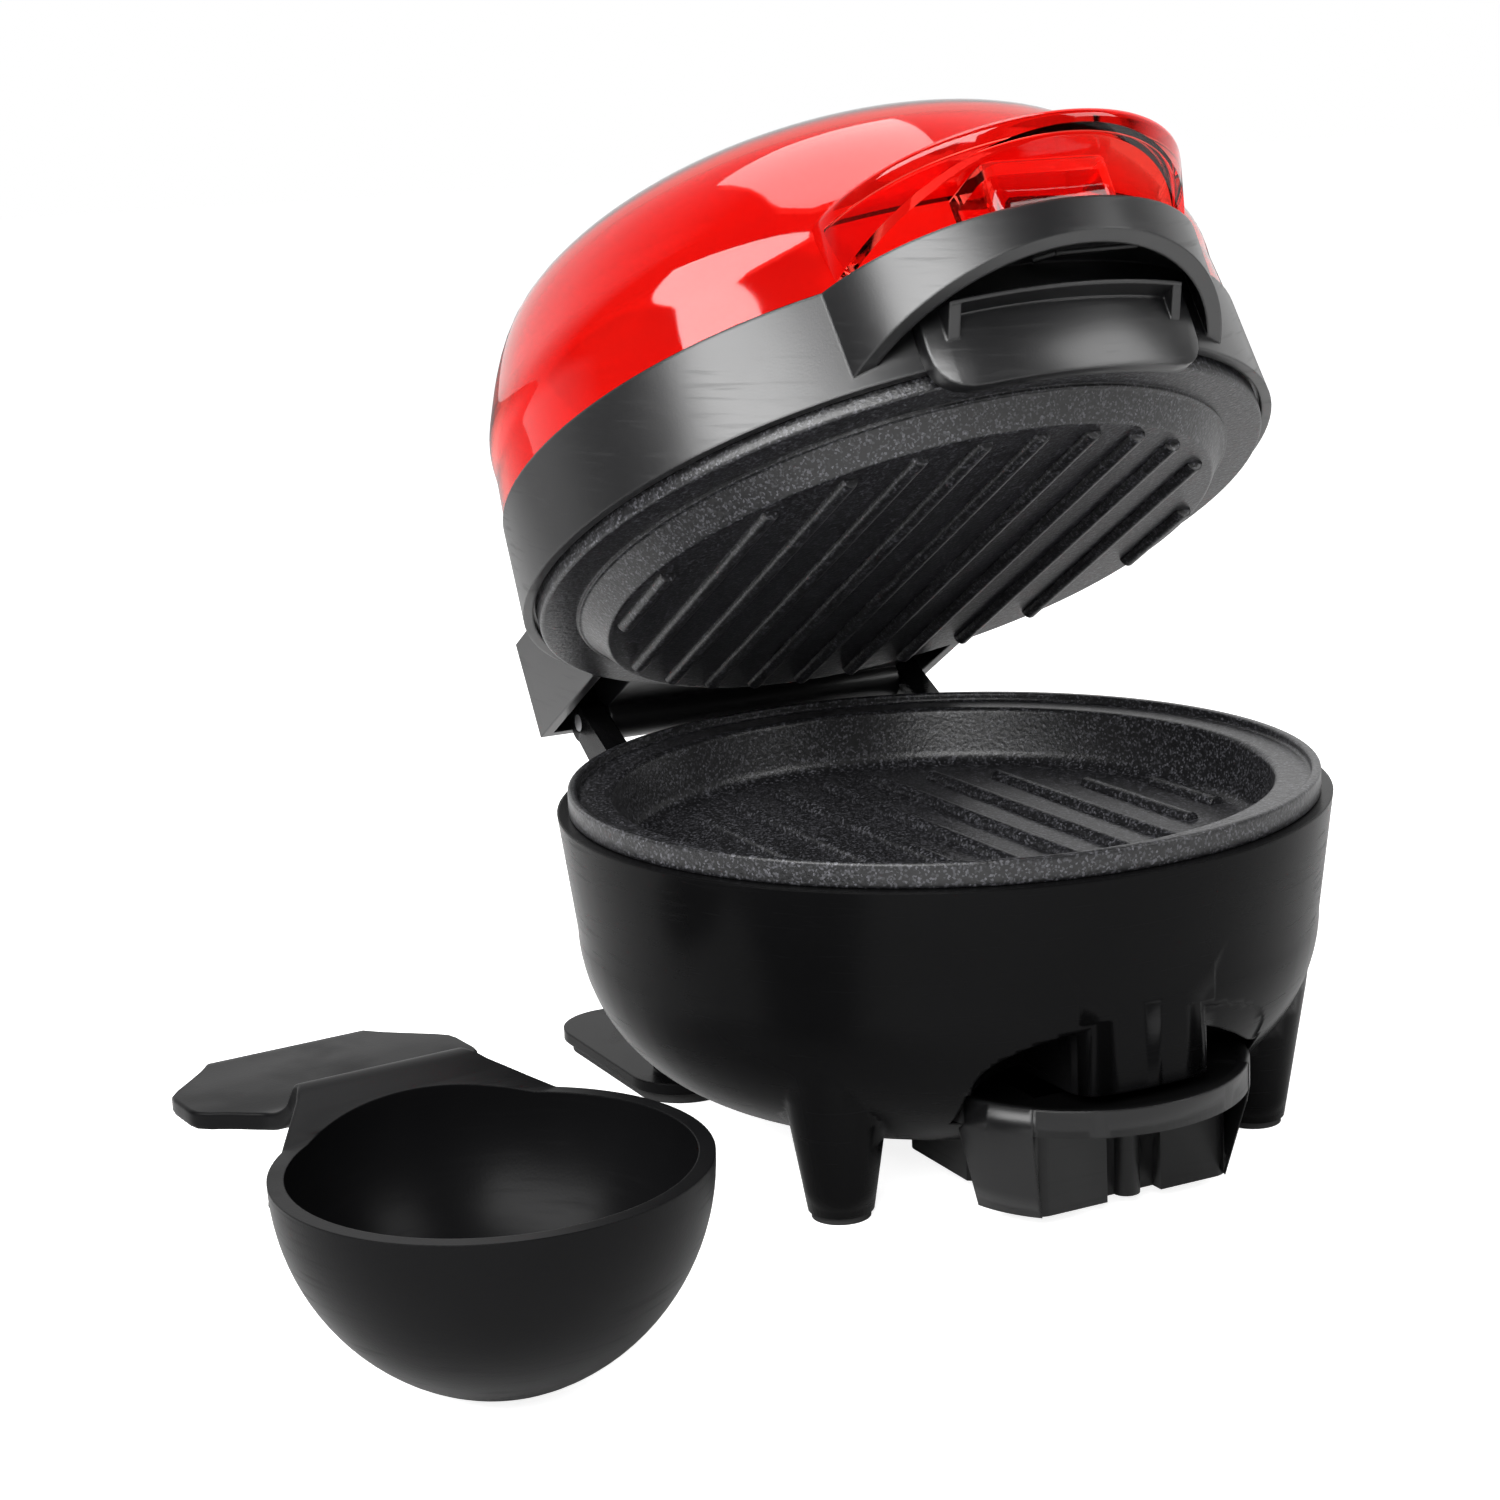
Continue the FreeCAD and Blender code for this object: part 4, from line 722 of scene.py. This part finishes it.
def rib_tree():
    """Parallel round ribs that end on a round field, each with rounded ends."""
    tree, given, result = group_of(
        "plate_ribs",
        "GeometryNodeTree",
        [
            ("Count", "NodeSocketInt", RIB_COUNT),
            ("Pitch", "NodeSocketFloat", RIB_PITCH),
            ("Field Radius", "NodeSocketFloat", LOWER_FIELD),
            ("Rib Radius", "NodeSocketFloat", RIB_RADIUS),
            ("End Length", "NodeSocketFloat", RIB_END),
            ("Level", "NodeSocketFloat", 0.0),
            ("Material", "NodeSocketMaterial", None),
        ],
        [("Geometry", "NodeSocketGeometry")],
    )
    gaps = add_math(tree, "SUBTRACT", given.outputs["Count"], 1.0)
    half_span = add_math(tree, "MULTIPLY", gaps, given.outputs["Pitch"])
    first = add_math(tree, "MULTIPLY", half_span, -0.5)
    start = add_node(tree, "ShaderNodeCombineXYZ", inputs={"X": first, "Z": given.outputs["Level"]})
    step = add_node(tree, "ShaderNodeCombineXYZ", inputs={"X": given.outputs["Pitch"]})
    row = add_node(
        tree,
        "GeometryNodeMeshLine",
        {"mode": "OFFSET"},
        {"Count": given.outputs["Count"], "Start Location": start.outputs[0], "Offset": step.outputs[0]},
    )
    position = add_node(tree, "GeometryNodeInputPosition").outputs[0]
    place = add_node(tree, "ShaderNodeSeparateXYZ", inputs={0: position})
    across = add_math(tree, "MULTIPLY", place.outputs["X"], place.outputs["X"])
    reach = add_math(tree, "MULTIPLY", given.outputs["Field Radius"], given.outputs["Field Radius"])
    least = add_math(tree, "MULTIPLY", given.outputs["Pitch"], given.outputs["Pitch"])
    half = add_math(
        tree, "SQRT", add_math(tree, "MAXIMUM", add_math(tree, "SUBTRACT", reach, across), least)
    )
    size = add_node(tree, "ShaderNodeCombineXYZ", inputs={"X": 1.0, "Y": half, "Z": 1.0})
    line = add_node(
        tree, "GeometryNodeCurvePrimitiveLine", inputs={"Start": (0.0, -1.0, 0.0), "End": (0.0, 1.0, 0.0)}
    )
    laid = add_node(
        tree,
        "GeometryNodeInstanceOnPoints",
        inputs={"Points": row.outputs[0], "Instance": line.outputs[0], "Scale": size.outputs[0]},
    )
    real = add_node(tree, "GeometryNodeRealizeInstances", inputs={0: laid.outputs[0]})
    fine = add_node(
        tree, "GeometryNodeResampleCurve", {"mode": "LENGTH"}, {"Curve": real.outputs[0], "Length": RIB_STEP}
    )
    along = add_node(tree, "GeometryNodeSplineParameter")
    whole = add_node(tree, "GeometryNodeSplineLength")
    rest = add_math(tree, "SUBTRACT", whole.outputs["Length"], along.outputs["Length"])
    near = add_math(tree, "MINIMUM", along.outputs["Length"], rest)
    share = add_math(tree, "MINIMUM", add_math(tree, "DIVIDE", near, given.outputs["End Length"]), 1.0)
    short = add_math(tree, "SUBTRACT", 1.0, share)
    fall = add_math(tree, "SUBTRACT", 1.0, add_math(tree, "MULTIPLY", short, short))
    swell = add_math(tree, "MAXIMUM", add_math(tree, "SQRT", fall), RIB_TIP)
    shaped = add_node(
        tree, "GeometryNodeSetCurveRadius", inputs={"Curve": fine.outputs[0], "Radius": swell}
    )
    section = add_node(
        tree,
        "GeometryNodeCurvePrimitiveCircle",
        inputs={"Resolution": RIB_SIDES, "Radius": given.outputs["Rib Radius"]},
    )
    body = add_node(
        tree,
        "GeometryNodeCurveToMesh",
        inputs={"Curve": shaped.outputs[0], "Profile Curve": section.outputs[0], "Fill Caps": True},
    )
    ready = add_node(tree, "GeometryNodeRealizeInstances", inputs={0: body.outputs[0]})
    dressed = add_node(
        tree,
        "GeometryNodeSetMaterial",
        inputs={"Geometry": ready.outputs[0], "Material": given.outputs["Material"]},
    )
    tree.links.new(dressed.outputs[0], result.inputs["Geometry"])
    return tree


RIBS = rib_tree()


def make_ribs(name, field_radius, level, body, place):
    item = new_item(name, [], [])
    modifier = item.modifiers.new("ribs", "NODES")
    modifier.node_group = RIBS
    values = {"Field Radius": field_radius, "Level": level, "Material": COATED}
    for socket in RIBS.interface.items_tree:
        if socket.in_out == "INPUT" and socket.name in values:
            modifier[socket.identifier] = values[socket.name]
    worked_in(item)
    hand_over(item, body, COATED, place, sharp=50.0)


def post_rods(name, bottom, top):
    rods = []
    for angle in POST_ANGLES:
        x = POST_CIRCLE * math.cos(math.radians(angle))
        y = POST_CIRCLE * math.sin(math.radians(angle))
        rods.append(rod(name, POST_RADIUS, (x, y, bottom), (x, y, top)))
    return rods


def make_lower_plate():
    top_radius = PLATE_RADIUS - LIP_WIDTH - LEDGE_WIDTH
    floor_radius = top_radius - WELL_DRAFT
    floor = RIM_HEIGHT - WELL_DEPTH
    under = floor - PLATE_WALL
    band = RIM_HEIGHT - PLATE_BAND
    ledge = RIM_HEIGHT - LEDGE_DROP
    profile = eased(
        [
            (0.0, under),
            (floor_radius + PLATE_WALL, under),
            (top_radius + PLATE_WALL, band),
            (PLATE_RADIUS, band),
            (PLATE_RADIUS, RIM_HEIGHT),
            (PLATE_RADIUS - LIP_WIDTH, RIM_HEIGHT),
            (PLATE_RADIUS - LIP_WIDTH, ledge),
            (top_radius, ledge),
            (floor_radius, floor),
            (0.0, floor),
        ],
        LOWER_ROUNDS,
    )
    plate = turned("lower_plate", profile)
    root = under + PLATE_WALL / 2
    spout = rod("spout", SPOUT_RADIUS, (0.0, -SPOUT_REACH, SPOUT_END), (0.0, -SPOUT_REACH, root))
    drain = rod("drain", SPOUT_BORE, (0.0, -SPOUT_REACH, 0.0), (0.0, -SPOUT_REACH, RIM_HEIGHT))
    with_cuts(with_added(plate, spout), drain)
    grouped(plate, *post_rods("lower_post", under - LOWER_POST_DROP, root))
    hand_over(plate, "base", COATED, CLOSED, stands_for=["lower_grill_plate"])
    make_ribs("lower_ribs", LOWER_FIELD, floor, "base", CLOSED)


def make_upper_plate():
    flange = PLATE_RADIUS - UPPER_FLANGE
    plateau = UPPER_FACE - PLATEAU_RISE
    back = UPPER_FACE + UPPER_BAND
    plateau_back = plateau + PLATE_WALL
    profile = eased(
        [
            (0.0, plateau),
            (PLATEAU_RADIUS, plateau),
            (flange - FLANGE_STEP, UPPER_FACE - FLANGE_STEP),
            (flange, UPPER_FACE - FLANGE_STEP),
            (flange, UPPER_FACE),
            (PLATE_RADIUS, UPPER_FACE),
            (PLATE_RADIUS, back),
            (flange - PLATE_WALL / 2, back),
            (PLATEAU_RADIUS - PLATE_WALL, plateau_back),
            (0.0, plateau_back),
        ],
        UPPER_ROUNDS,
    )
    plate = turned("upper_plate", profile)
    grouped(plate, *post_rods("upper_post", plateau_back - PLATE_WALL / 2, plateau_back + UPPER_POST_RISE))
    hand_over(plate, "lid", COATED, OPEN, stands_for=["upper_grill_plate"])
    make_ribs("upper_ribs", UPPER_FIELD, plateau, "lid", OPEN)


# Warming cover


def hood_sections(radius, height, rounding, below):
    """Circles of a leaning hood whose top edge is rounded."""
    levels = [(-below, radius), (height - rounding, radius)]
    for step in range(1, ARC_STEPS + 1):
        turn = math.pi / 2 * step / ARC_STEPS
        rise = height - rounding + rounding * math.sin(turn)
        levels.append((rise, radius - rounding * (1 - math.cos(turn))))
    sections = []
    for rise, size in levels:
        centre = -HOOD_CENTRE - HOOD_LEAN * rise / HOOD_HEIGHT
        ring = []
        for step in range(STEPS):
            angle = math.tau * step / STEPS
            ring.append((size * math.cos(angle), centre + size * math.sin(angle), COVER_BASE + rise))
        sections.append(ring)
    return sections


def make_cover():
    shape = [(radius, RING_TOP + rise) for radius, rise in COVER_SHAPE]
    lead = 2 * Vector(shape[0]) - Vector(shape[1])
    mirrored = (-shape[-2][0], shape[-2][1])
    outer = smooth_through(lead, shape, mirrored, COVER_STEPS)
    inner = inset(outer, COVER_WALL)
    outside = turned("cover", [(0.0, outer[0].y), *(tuple(p) for p in outer)])
    below = RING_TOP - OVERRUN
    inside = turned("inside", [(0.0, below), (inner[0].x, below), *(tuple(p) for p in inner)])
    visor = stacked("visor", hood_sections(HOOD_RADIUS, HOOD_HEIGHT, HOOD_ROUND, 0.0))
    hollow_height = HOOD_HEIGHT - COVER_WALL
    hollow_radius = HOOD_RADIUS - COVER_WALL
    hollow = stacked("hollow", hood_sections(hollow_radius, hollow_height, HOOD_ROUND / 2, OVERRUN))
    front = HOOD_CENTRE + HOOD_RADIUS + HOOD_LEAN
    lip = COVER_BASE + HOOD_HEIGHT - VISOR_LIP
    mouth_outline = [
        (-MOUTH_ROOT, COVER_BASE - OVERRUN),
        (-MOUTH_ROOT, COVER_BASE),
        (-front, lip),
        (-front - OVERRUN, lip),
        (-front - OVERRUN, COVER_BASE - OVERRUN),
    ]
    mouth_half = HOOD_RADIUS + OVERRUN
    mouth = stacked("mouth", [[(x, y, z) for y, z in mouth_outline] for x in (-mouth_half, mouth_half)])
    with_cuts(visor, hollow, mouth)
    block_outline = eased(
        [
            (-LIFT_HALF, -HOOD_CENTRE),
            (-LIFT_HALF, -LIFT_FRONT),
            (LIFT_HALF, -LIFT_FRONT),
            (LIFT_HALF, -HOOD_CENTRE),
        ],
        {1: LIFT_CORNER, 2: LIFT_CORNER},
        closed=True,
    )
    block_top = COVER_BASE + hollow_height + LIFT_SINK
    block = soften(raised("block", block_outline, COVER_BASE, block_top), LIFT_EASE)
    pocket_half = LIFT_HALF - COVER_WALL
    pocket_front = LIFT_FRONT - COVER_WALL
    pocket_outline = [
        (-pocket_half, -HOOD_CENTRE),
        (-pocket_half, -pocket_front),
        (pocket_half, -pocket_front),
        (pocket_half, -HOOD_CENTRE),
    ]
    pocket = raised("pocket", pocket_outline, COVER_BASE - OVERRUN, COVER_BASE + hollow_height - COVER_WALL)
    with_cuts(block, pocket)
    pin_level = RING_TOP + COVER_PIN_RISE
    barrel = rod(
        "barrel",
        COVER_BARREL_RADIUS,
        (-COVER_BARREL_HALF, COVER_PIN_Y, pin_level),
        (COVER_BARREL_HALF, COVER_PIN_Y, pin_level),
    )
    tongue_outline = [
        (-COVER_BARREL_HALF, COVER_SHAPE[2][0] - COVER_WALL),
        (COVER_BARREL_HALF, COVER_SHAPE[2][0] - COVER_WALL),
        (COVER_BARREL_HALF, COVER_PIN_Y),
        (-COVER_BARREL_HALF, COVER_PIN_Y),
    ]
    tongue_ends = (pin_level - COVER_BARREL_RADIUS, pin_level + COVER_BARREL_RADIUS)
    tongue = raised("tongue", tongue_outline, *tongue_ends)
    bore_half = COVER_BARREL_HALF + OVERRUN
    bore = rod("bore", COVER_BORE, (-bore_half, COVER_PIN_Y, pin_level), (bore_half, COVER_PIN_Y, pin_level))
    with_added(outside, visor, block, tongue, barrel)
    with_cuts(outside, inside, bore)
    hand_over(outside, "cover", RED, OPEN, sharp=32.0, stands_for=["dome_cover", "dome_visor"])


# Bowl, tray, grip and beak


def upright_window(name, outline, front, back):
    """A prism along Y on an outline of (x, height) points."""
    return stacked(name, [[(x, y, z) for x, z in outline] for y in (-front, -back)])


def bowl_radius(height):
    drop = max(WAIST_HEIGHT - height, 0.0)
    return BOWL_WAIST - BOWL_ROUND + math.sqrt(BOWL_ROUND**2 - drop**2)


def spout_boss():
    """The boss round the spout, whose face runs up into the bowl's front."""
    plan = [
        (BOSS_HALF, -BOSS_BACK),
        (-BOSS_HALF, -BOSS_BACK),
        (-BOSS_HALF, BOSS_BULGE - BOSS_FRONT),
        (0.0, -BOSS_FRONT),
        (BOSS_HALF, BOSS_BULGE - BOSS_FRONT),
    ]
    rounds = {2: BOSS_CORNER, 3: BOWL_WAIST, 4: BOSS_CORNER}
    boss = raised("boss", eased(plan, rounds, closed=True), BOSS_BOTTOM, BOSS_TOP)
    plan[0] = (BOSS_HALF, BOSS_SKIN - BOSS_FRONT)
    plan[1] = (-BOSS_HALF, BOSS_SKIN - BOSS_FRONT)
    skin = raised("skin", eased(plan, rounds, closed=True), BOSS_TOP - BOSS_SKIN, BOSS_SKIN_TOP)
    with_added(boss, skin)
    bore_ends = [(0.0, -SPOUT_REACH, level) for level in (BOSS_BOTTOM - OVERRUN, BOSS_TOP + OVERRUN)]
    with_cuts(boss, rod("bore", BOSS_BORE, *bore_ends))
    return boss


def arch_lintel():
    """The slice of the bowl's wall that closes the top of the tray's opening."""
    heights = [ARCH_FOOT + (ARCH_TOP - ARCH_FOOT) * step / SIDE_STEPS for step in range(SIDE_STEPS + 1)]
    outer = [(bowl_radius(height) - ARCH_SINK, height) for height in heights]
    inner = [(radius - ARCH_WALL, height) for radius, height in reversed(outer)]
    span = [(ARCH_EDGE[-1][0], ARCH_TOP + OVERRUN), (ARCH_EDGE[0][0], ARCH_TOP + OVERRUN)]
    window = upright_window("arch", [*ARCH_EDGE, *span], BOWL_WAIST + OVERRUN, BOSS_BACK)
    return kept_within(turned("lintel", [*outer, *inner]), window)


def make_bowl():
    """The bowl and its tray dock as one moulding."""
    boss = spout_boss()
    lintel = arch_lintel()
    bowl = with_added(copy_of("base_bowl"), copy_of("tray_dock"), boss, lintel)
    hand_over(bowl, "base", BLACK, CLOSED, stands_for=["base_bowl", "tray_dock"])


def tray_wall_outline(sign, radius, level):
    """A corner wall's plan at a level: an arc about the nose's centre, closed on the inside."""
    near, far = (math.asin(end / TRAY_WALL_LEVELS[-1][1]) for end in TRAY_WALL_ENDS)
    turns = [near + (far - near) * step / SIDE_STEPS for step in range(SIDE_STEPS + 1)]
    arc = [(sign * radius * math.sin(turn), -TRAY_CENTRE - radius * math.cos(turn), level) for turn in turns]
    return [*arc, (sign * TRAY_WALL_ENDS[0], arc[-1][1], level)]


def make_tray():
    """The drip tray with the walls that run from its flange's corners down to its foot."""
    tray = copy_of("drip_tray")
    side = [(0.0, BOWL_CLEARANCE - TRAY_GAP)]
    for step in range(SIDE_STEPS + 1):
        turn = math.pi / 2 * step / SIDE_STEPS
        reach = BOWL_ROUND + TRAY_GAP
        side.append((BOWL_WAIST - BOWL_ROUND + reach * math.sin(turn), WAIST_HEIGHT - reach * math.cos(turn)))
    for sign in (1.0, -1.0):
        wall = stacked("wall", [tray_wall_outline(sign, radius, level) for level, radius in TRAY_WALL_LEVELS])
        with_added(tray, with_cuts(wall, turned("bowl_room", [*side, (0.0, WAIST_HEIGHT)])))
    hand_over(tray, "tray", TRAY_BLACK, CLOSED, stands_for=["drip_tray"])


def make_grip():
    hoop = [
        (PANEL_INNER, PANEL_BOTTOM),
        (PANEL_OUTER, PANEL_BOTTOM),
        (PANEL_OUTER, PANEL_TOP),
        (PANEL_INNER, PANEL_TOP),
    ]
    panel_outline = eased(
        [
            (-PANEL_HALF, PANEL_TOP + OVERRUN),
            (-PANEL_HALF, PANEL_BOTTOM),
            (PANEL_HALF, PANEL_BOTTOM),
            (PANEL_HALF, PANEL_TOP + OVERRUN),
        ],
        {1: PANEL_CORNER, 2: PANEL_CORNER},
        closed=True,
    )
    front = PANEL_OUTER + OVERRUN * 2
    panel = kept_within(turned("grip", hoop), upright_window("panel_window", panel_outline, front, 0.0))
    soften(panel, PANEL_EASE)

    def blade_part(name, shape, start, end):
        bottom, top = PANEL_BOTTOM, PANEL_TOP + OVERRUN
        outline = [(start, bottom), (end, bottom), (end, top), (start, top)]
        return kept_within(turned(name, shape), upright_window(f"{name}_window", outline, front, 0.0))

    inner = BLADE_HALF - BLADE_CHEEK
    blade = with_added(
        blade_part("blade", BLADE_SHAPE, -BLADE_HALF, BLADE_HALF),
        blade_part("left_cheek", CHEEK_SHAPE, -BLADE_HALF, -inner),
        blade_part("right_cheek", CHEEK_SHAPE, inner, BLADE_HALF),
    )
    grouped(panel, blade)
    hand_over(panel, "lid", LID_BLACK, OPEN, stands_for=["handle_grip"])


def make_beak_ribs():
    bars = []
    for path in BEAK_RIBS:
        for start, end in zip(path, path[1:]):
            bars.append(rod("beak_rib", BEAK_RIB_RADIUS, (*start, BEAK_CEILING), (*end, BEAK_CEILING)))
    hand_over(grouped(*bars), "lid", LID_BLACK, OPEN)


# Grease cup


def cup_side(radius, foot, depth, bottom):
    """Points of the cup's round side from its foot up to its mouth, upright at the mouth."""
    reach = radius - foot
    drop = depth - bottom
    arc = (reach**2 + drop**2) / (2 * reach)
    full = math.asin(drop / arc)
    points = []
    for step in range(SIDE_STEPS + 1):
        turn = full * (1 - step / SIDE_STEPS)
        points.append((radius - arc + arc * math.cos(turn), depth - arc * math.sin(turn)))
    return points


def between(line, place):
    """The value of a line of (place, value) knots at a place."""
    for (start, low), (end, high) in zip(line, line[1:]):
        if place <= end:
            return low + (high - low) * (place - start) / (end - start)
    return line[-1][1]


def handle_sections():
    """Level-edged sections of the cup's flat handle, from the cup's wall out to the tab's end."""
    line = smooth_through(HANDLE_TOP[0], HANDLE_TOP, HANDLE_TOP[-1], ARC_STEPS)
    sections = []
    for index, point in enumerate(line):
        along = (line[min(index + 1, len(line) - 1)] - line[max(index - 1, 0)]).normalized()
        down = Vector((along.y, -along.x))
        half = between(HANDLE_HALF, point.x)
        corners = eased(
            [(-half, 0.0), (half, 0.0), (half, HANDLE_THICKNESS), (-half, HANDLE_THICKNESS)],
            {corner: HANDLE_EASE for corner in range(4)},
            closed=True,
        )
        sections.append(
            [(x, point.x + down.x * depth, point.y + down.y * depth) for x, depth in corners]
        )
    return sections


def make_cup():
    outer = cup_side(CUP_RADIUS, CUP_FOOT, CUP_DEPTH, 0.0)
    inner = cup_side(CUP_RADIUS - CUP_WALL, CUP_FOOT - CUP_WALL / 2, CUP_DEPTH, CUP_WALL)
    cup = turned("cup", [(0.0, 0.0), *outer, (0.0, CUP_DEPTH)])
    handle = soften(stacked("handle", handle_sections()), HANDLE_EASE / 2, angle=CUP_SOFT_ANGLE)
    above = CUP_DEPTH * 2
    mouth = turned("mouth", [(0.0, CUP_WALL), *inner, (inner[-1][0], above), (0.0, above)])
    with_cuts(with_added(cup, handle), mouth)
    soften(cup, CUP_RIM_ROUND, CUP_RIM_STEPS, CUP_SOFT_ANGLE)
    place = Matrix.Translation(CUP_PLACE) @ Matrix.Rotation(math.radians(CUP_TURN), 4, "Z")
    hand_over(cup, "cup", CUP_BLACK, place, stands_for=["grease_cup"])


# Stage


def add_stage():
    mesh = bpy.data.meshes.new("floor")
    corners = [(x * FLOOR_HALF, y * FLOOR_HALF, 0) for x, y in ((-1, -1), (1, -1), (1, 1), (-1, 1))]
    mesh.from_pydata(corners, [], [(0, 1, 2, 3)])
    floor = bpy.data.objects.new("floor", mesh)
    bpy.context.scene.collection.objects.link(floor)
    material, tree, shader = tree_of("pale_floor")
    path = add_node(tree, "ShaderNodeLightPath")
    seen = add_math(tree, "MAXIMUM", path.outputs["Is Camera Ray"], path.outputs["Is Transmission Ray"])
    glow = add_math(tree, "MULTIPLY", seen, FLOOR_LIFT)
    shader.inputs["Base Color"].default_value = (FLOOR_TONE, FLOOR_TONE, FLOOR_TONE, 1.0)
    shader.inputs["Roughness"].default_value = 0.9
    shader.inputs["Specular IOR Level"].default_value = 0.0
    shader.inputs["Emission Color"].default_value = (1.0, 1.0, 1.0, 1.0)
    tree.links.new(glow, shader.inputs["Emission Strength"])
    mesh.materials.append(material)


def add_world():
    """White backdrop behind the object, a dim room in front of it, even fill light."""
    world = bpy.data.worlds.new("studio")
    bpy.context.scene.world = world
    world.use_nodes = True
    tree = world.node_tree
    background = tree.nodes["Background"]
    way = add_node(tree, "ShaderNodeTexCoord").outputs["Generated"]
    facing = add_node(tree, "ShaderNodeVectorMath", {"operation": "DOT_PRODUCT"}, {0: way, 1: BACKDROP_WAY})
    backdrop = add_node(
        tree,
        "ShaderNodeMapRange",
        inputs={
            "Value": facing.outputs["Value"],
            "From Min": BACKDROP_EDGE[0],
            "From Max": BACKDROP_EDGE[1],
            "To Min": ROOM_DARK,
            "To Max": 1.0,
        },
    )
    path = add_node(tree, "ShaderNodeLightPath")
    plain = add_math(tree, "MAXIMUM", path.outputs["Is Camera Ray"], path.outputs["Is Transmission Ray"])
    mirrored = add_math(tree, "MULTIPLY", path.outputs["Is Glossy Ray"], backdrop.outputs["Result"])
    unlit = add_math(tree, "SUBTRACT", 1.0, path.outputs["Is Glossy Ray"])
    fill = add_math(tree, "MULTIPLY", unlit, ROOM_LIGHT)
    level = add_math(tree, "MAXIMUM", add_math(tree, "MAXIMUM", plain, mirrored), fill)
    background.inputs["Color"].default_value = (1.0, 1.0, 1.0, 1.0)
    tree.links.new(level, background.inputs["Strength"])


def add_lamp(name, place, target, size, power):
    data = bpy.data.lights.new(name, "AREA")
    data.shape = "RECTANGLE"
    data.size, data.size_y = size
    data.energy = power
    lamp = bpy.data.objects.new(name, data)
    lamp.location = place
    lamp.rotation_euler = (Vector(target) - Vector(place)).to_track_quat("-Z", "Y").to_euler()
    bpy.context.scene.collection.objects.link(lamp)


add_camera()
dress_nodes()
make_lower_plate()
make_upper_plate()
make_cover()
make_bowl()
make_tray()
make_grip()
make_beak_ribs()
make_cup()
add_stage()
add_world()
for name, lamp in LAMPS.items():
    add_lamp(name, *lamp)
bpy.context.scene.view_settings.view_transform = "Standard"
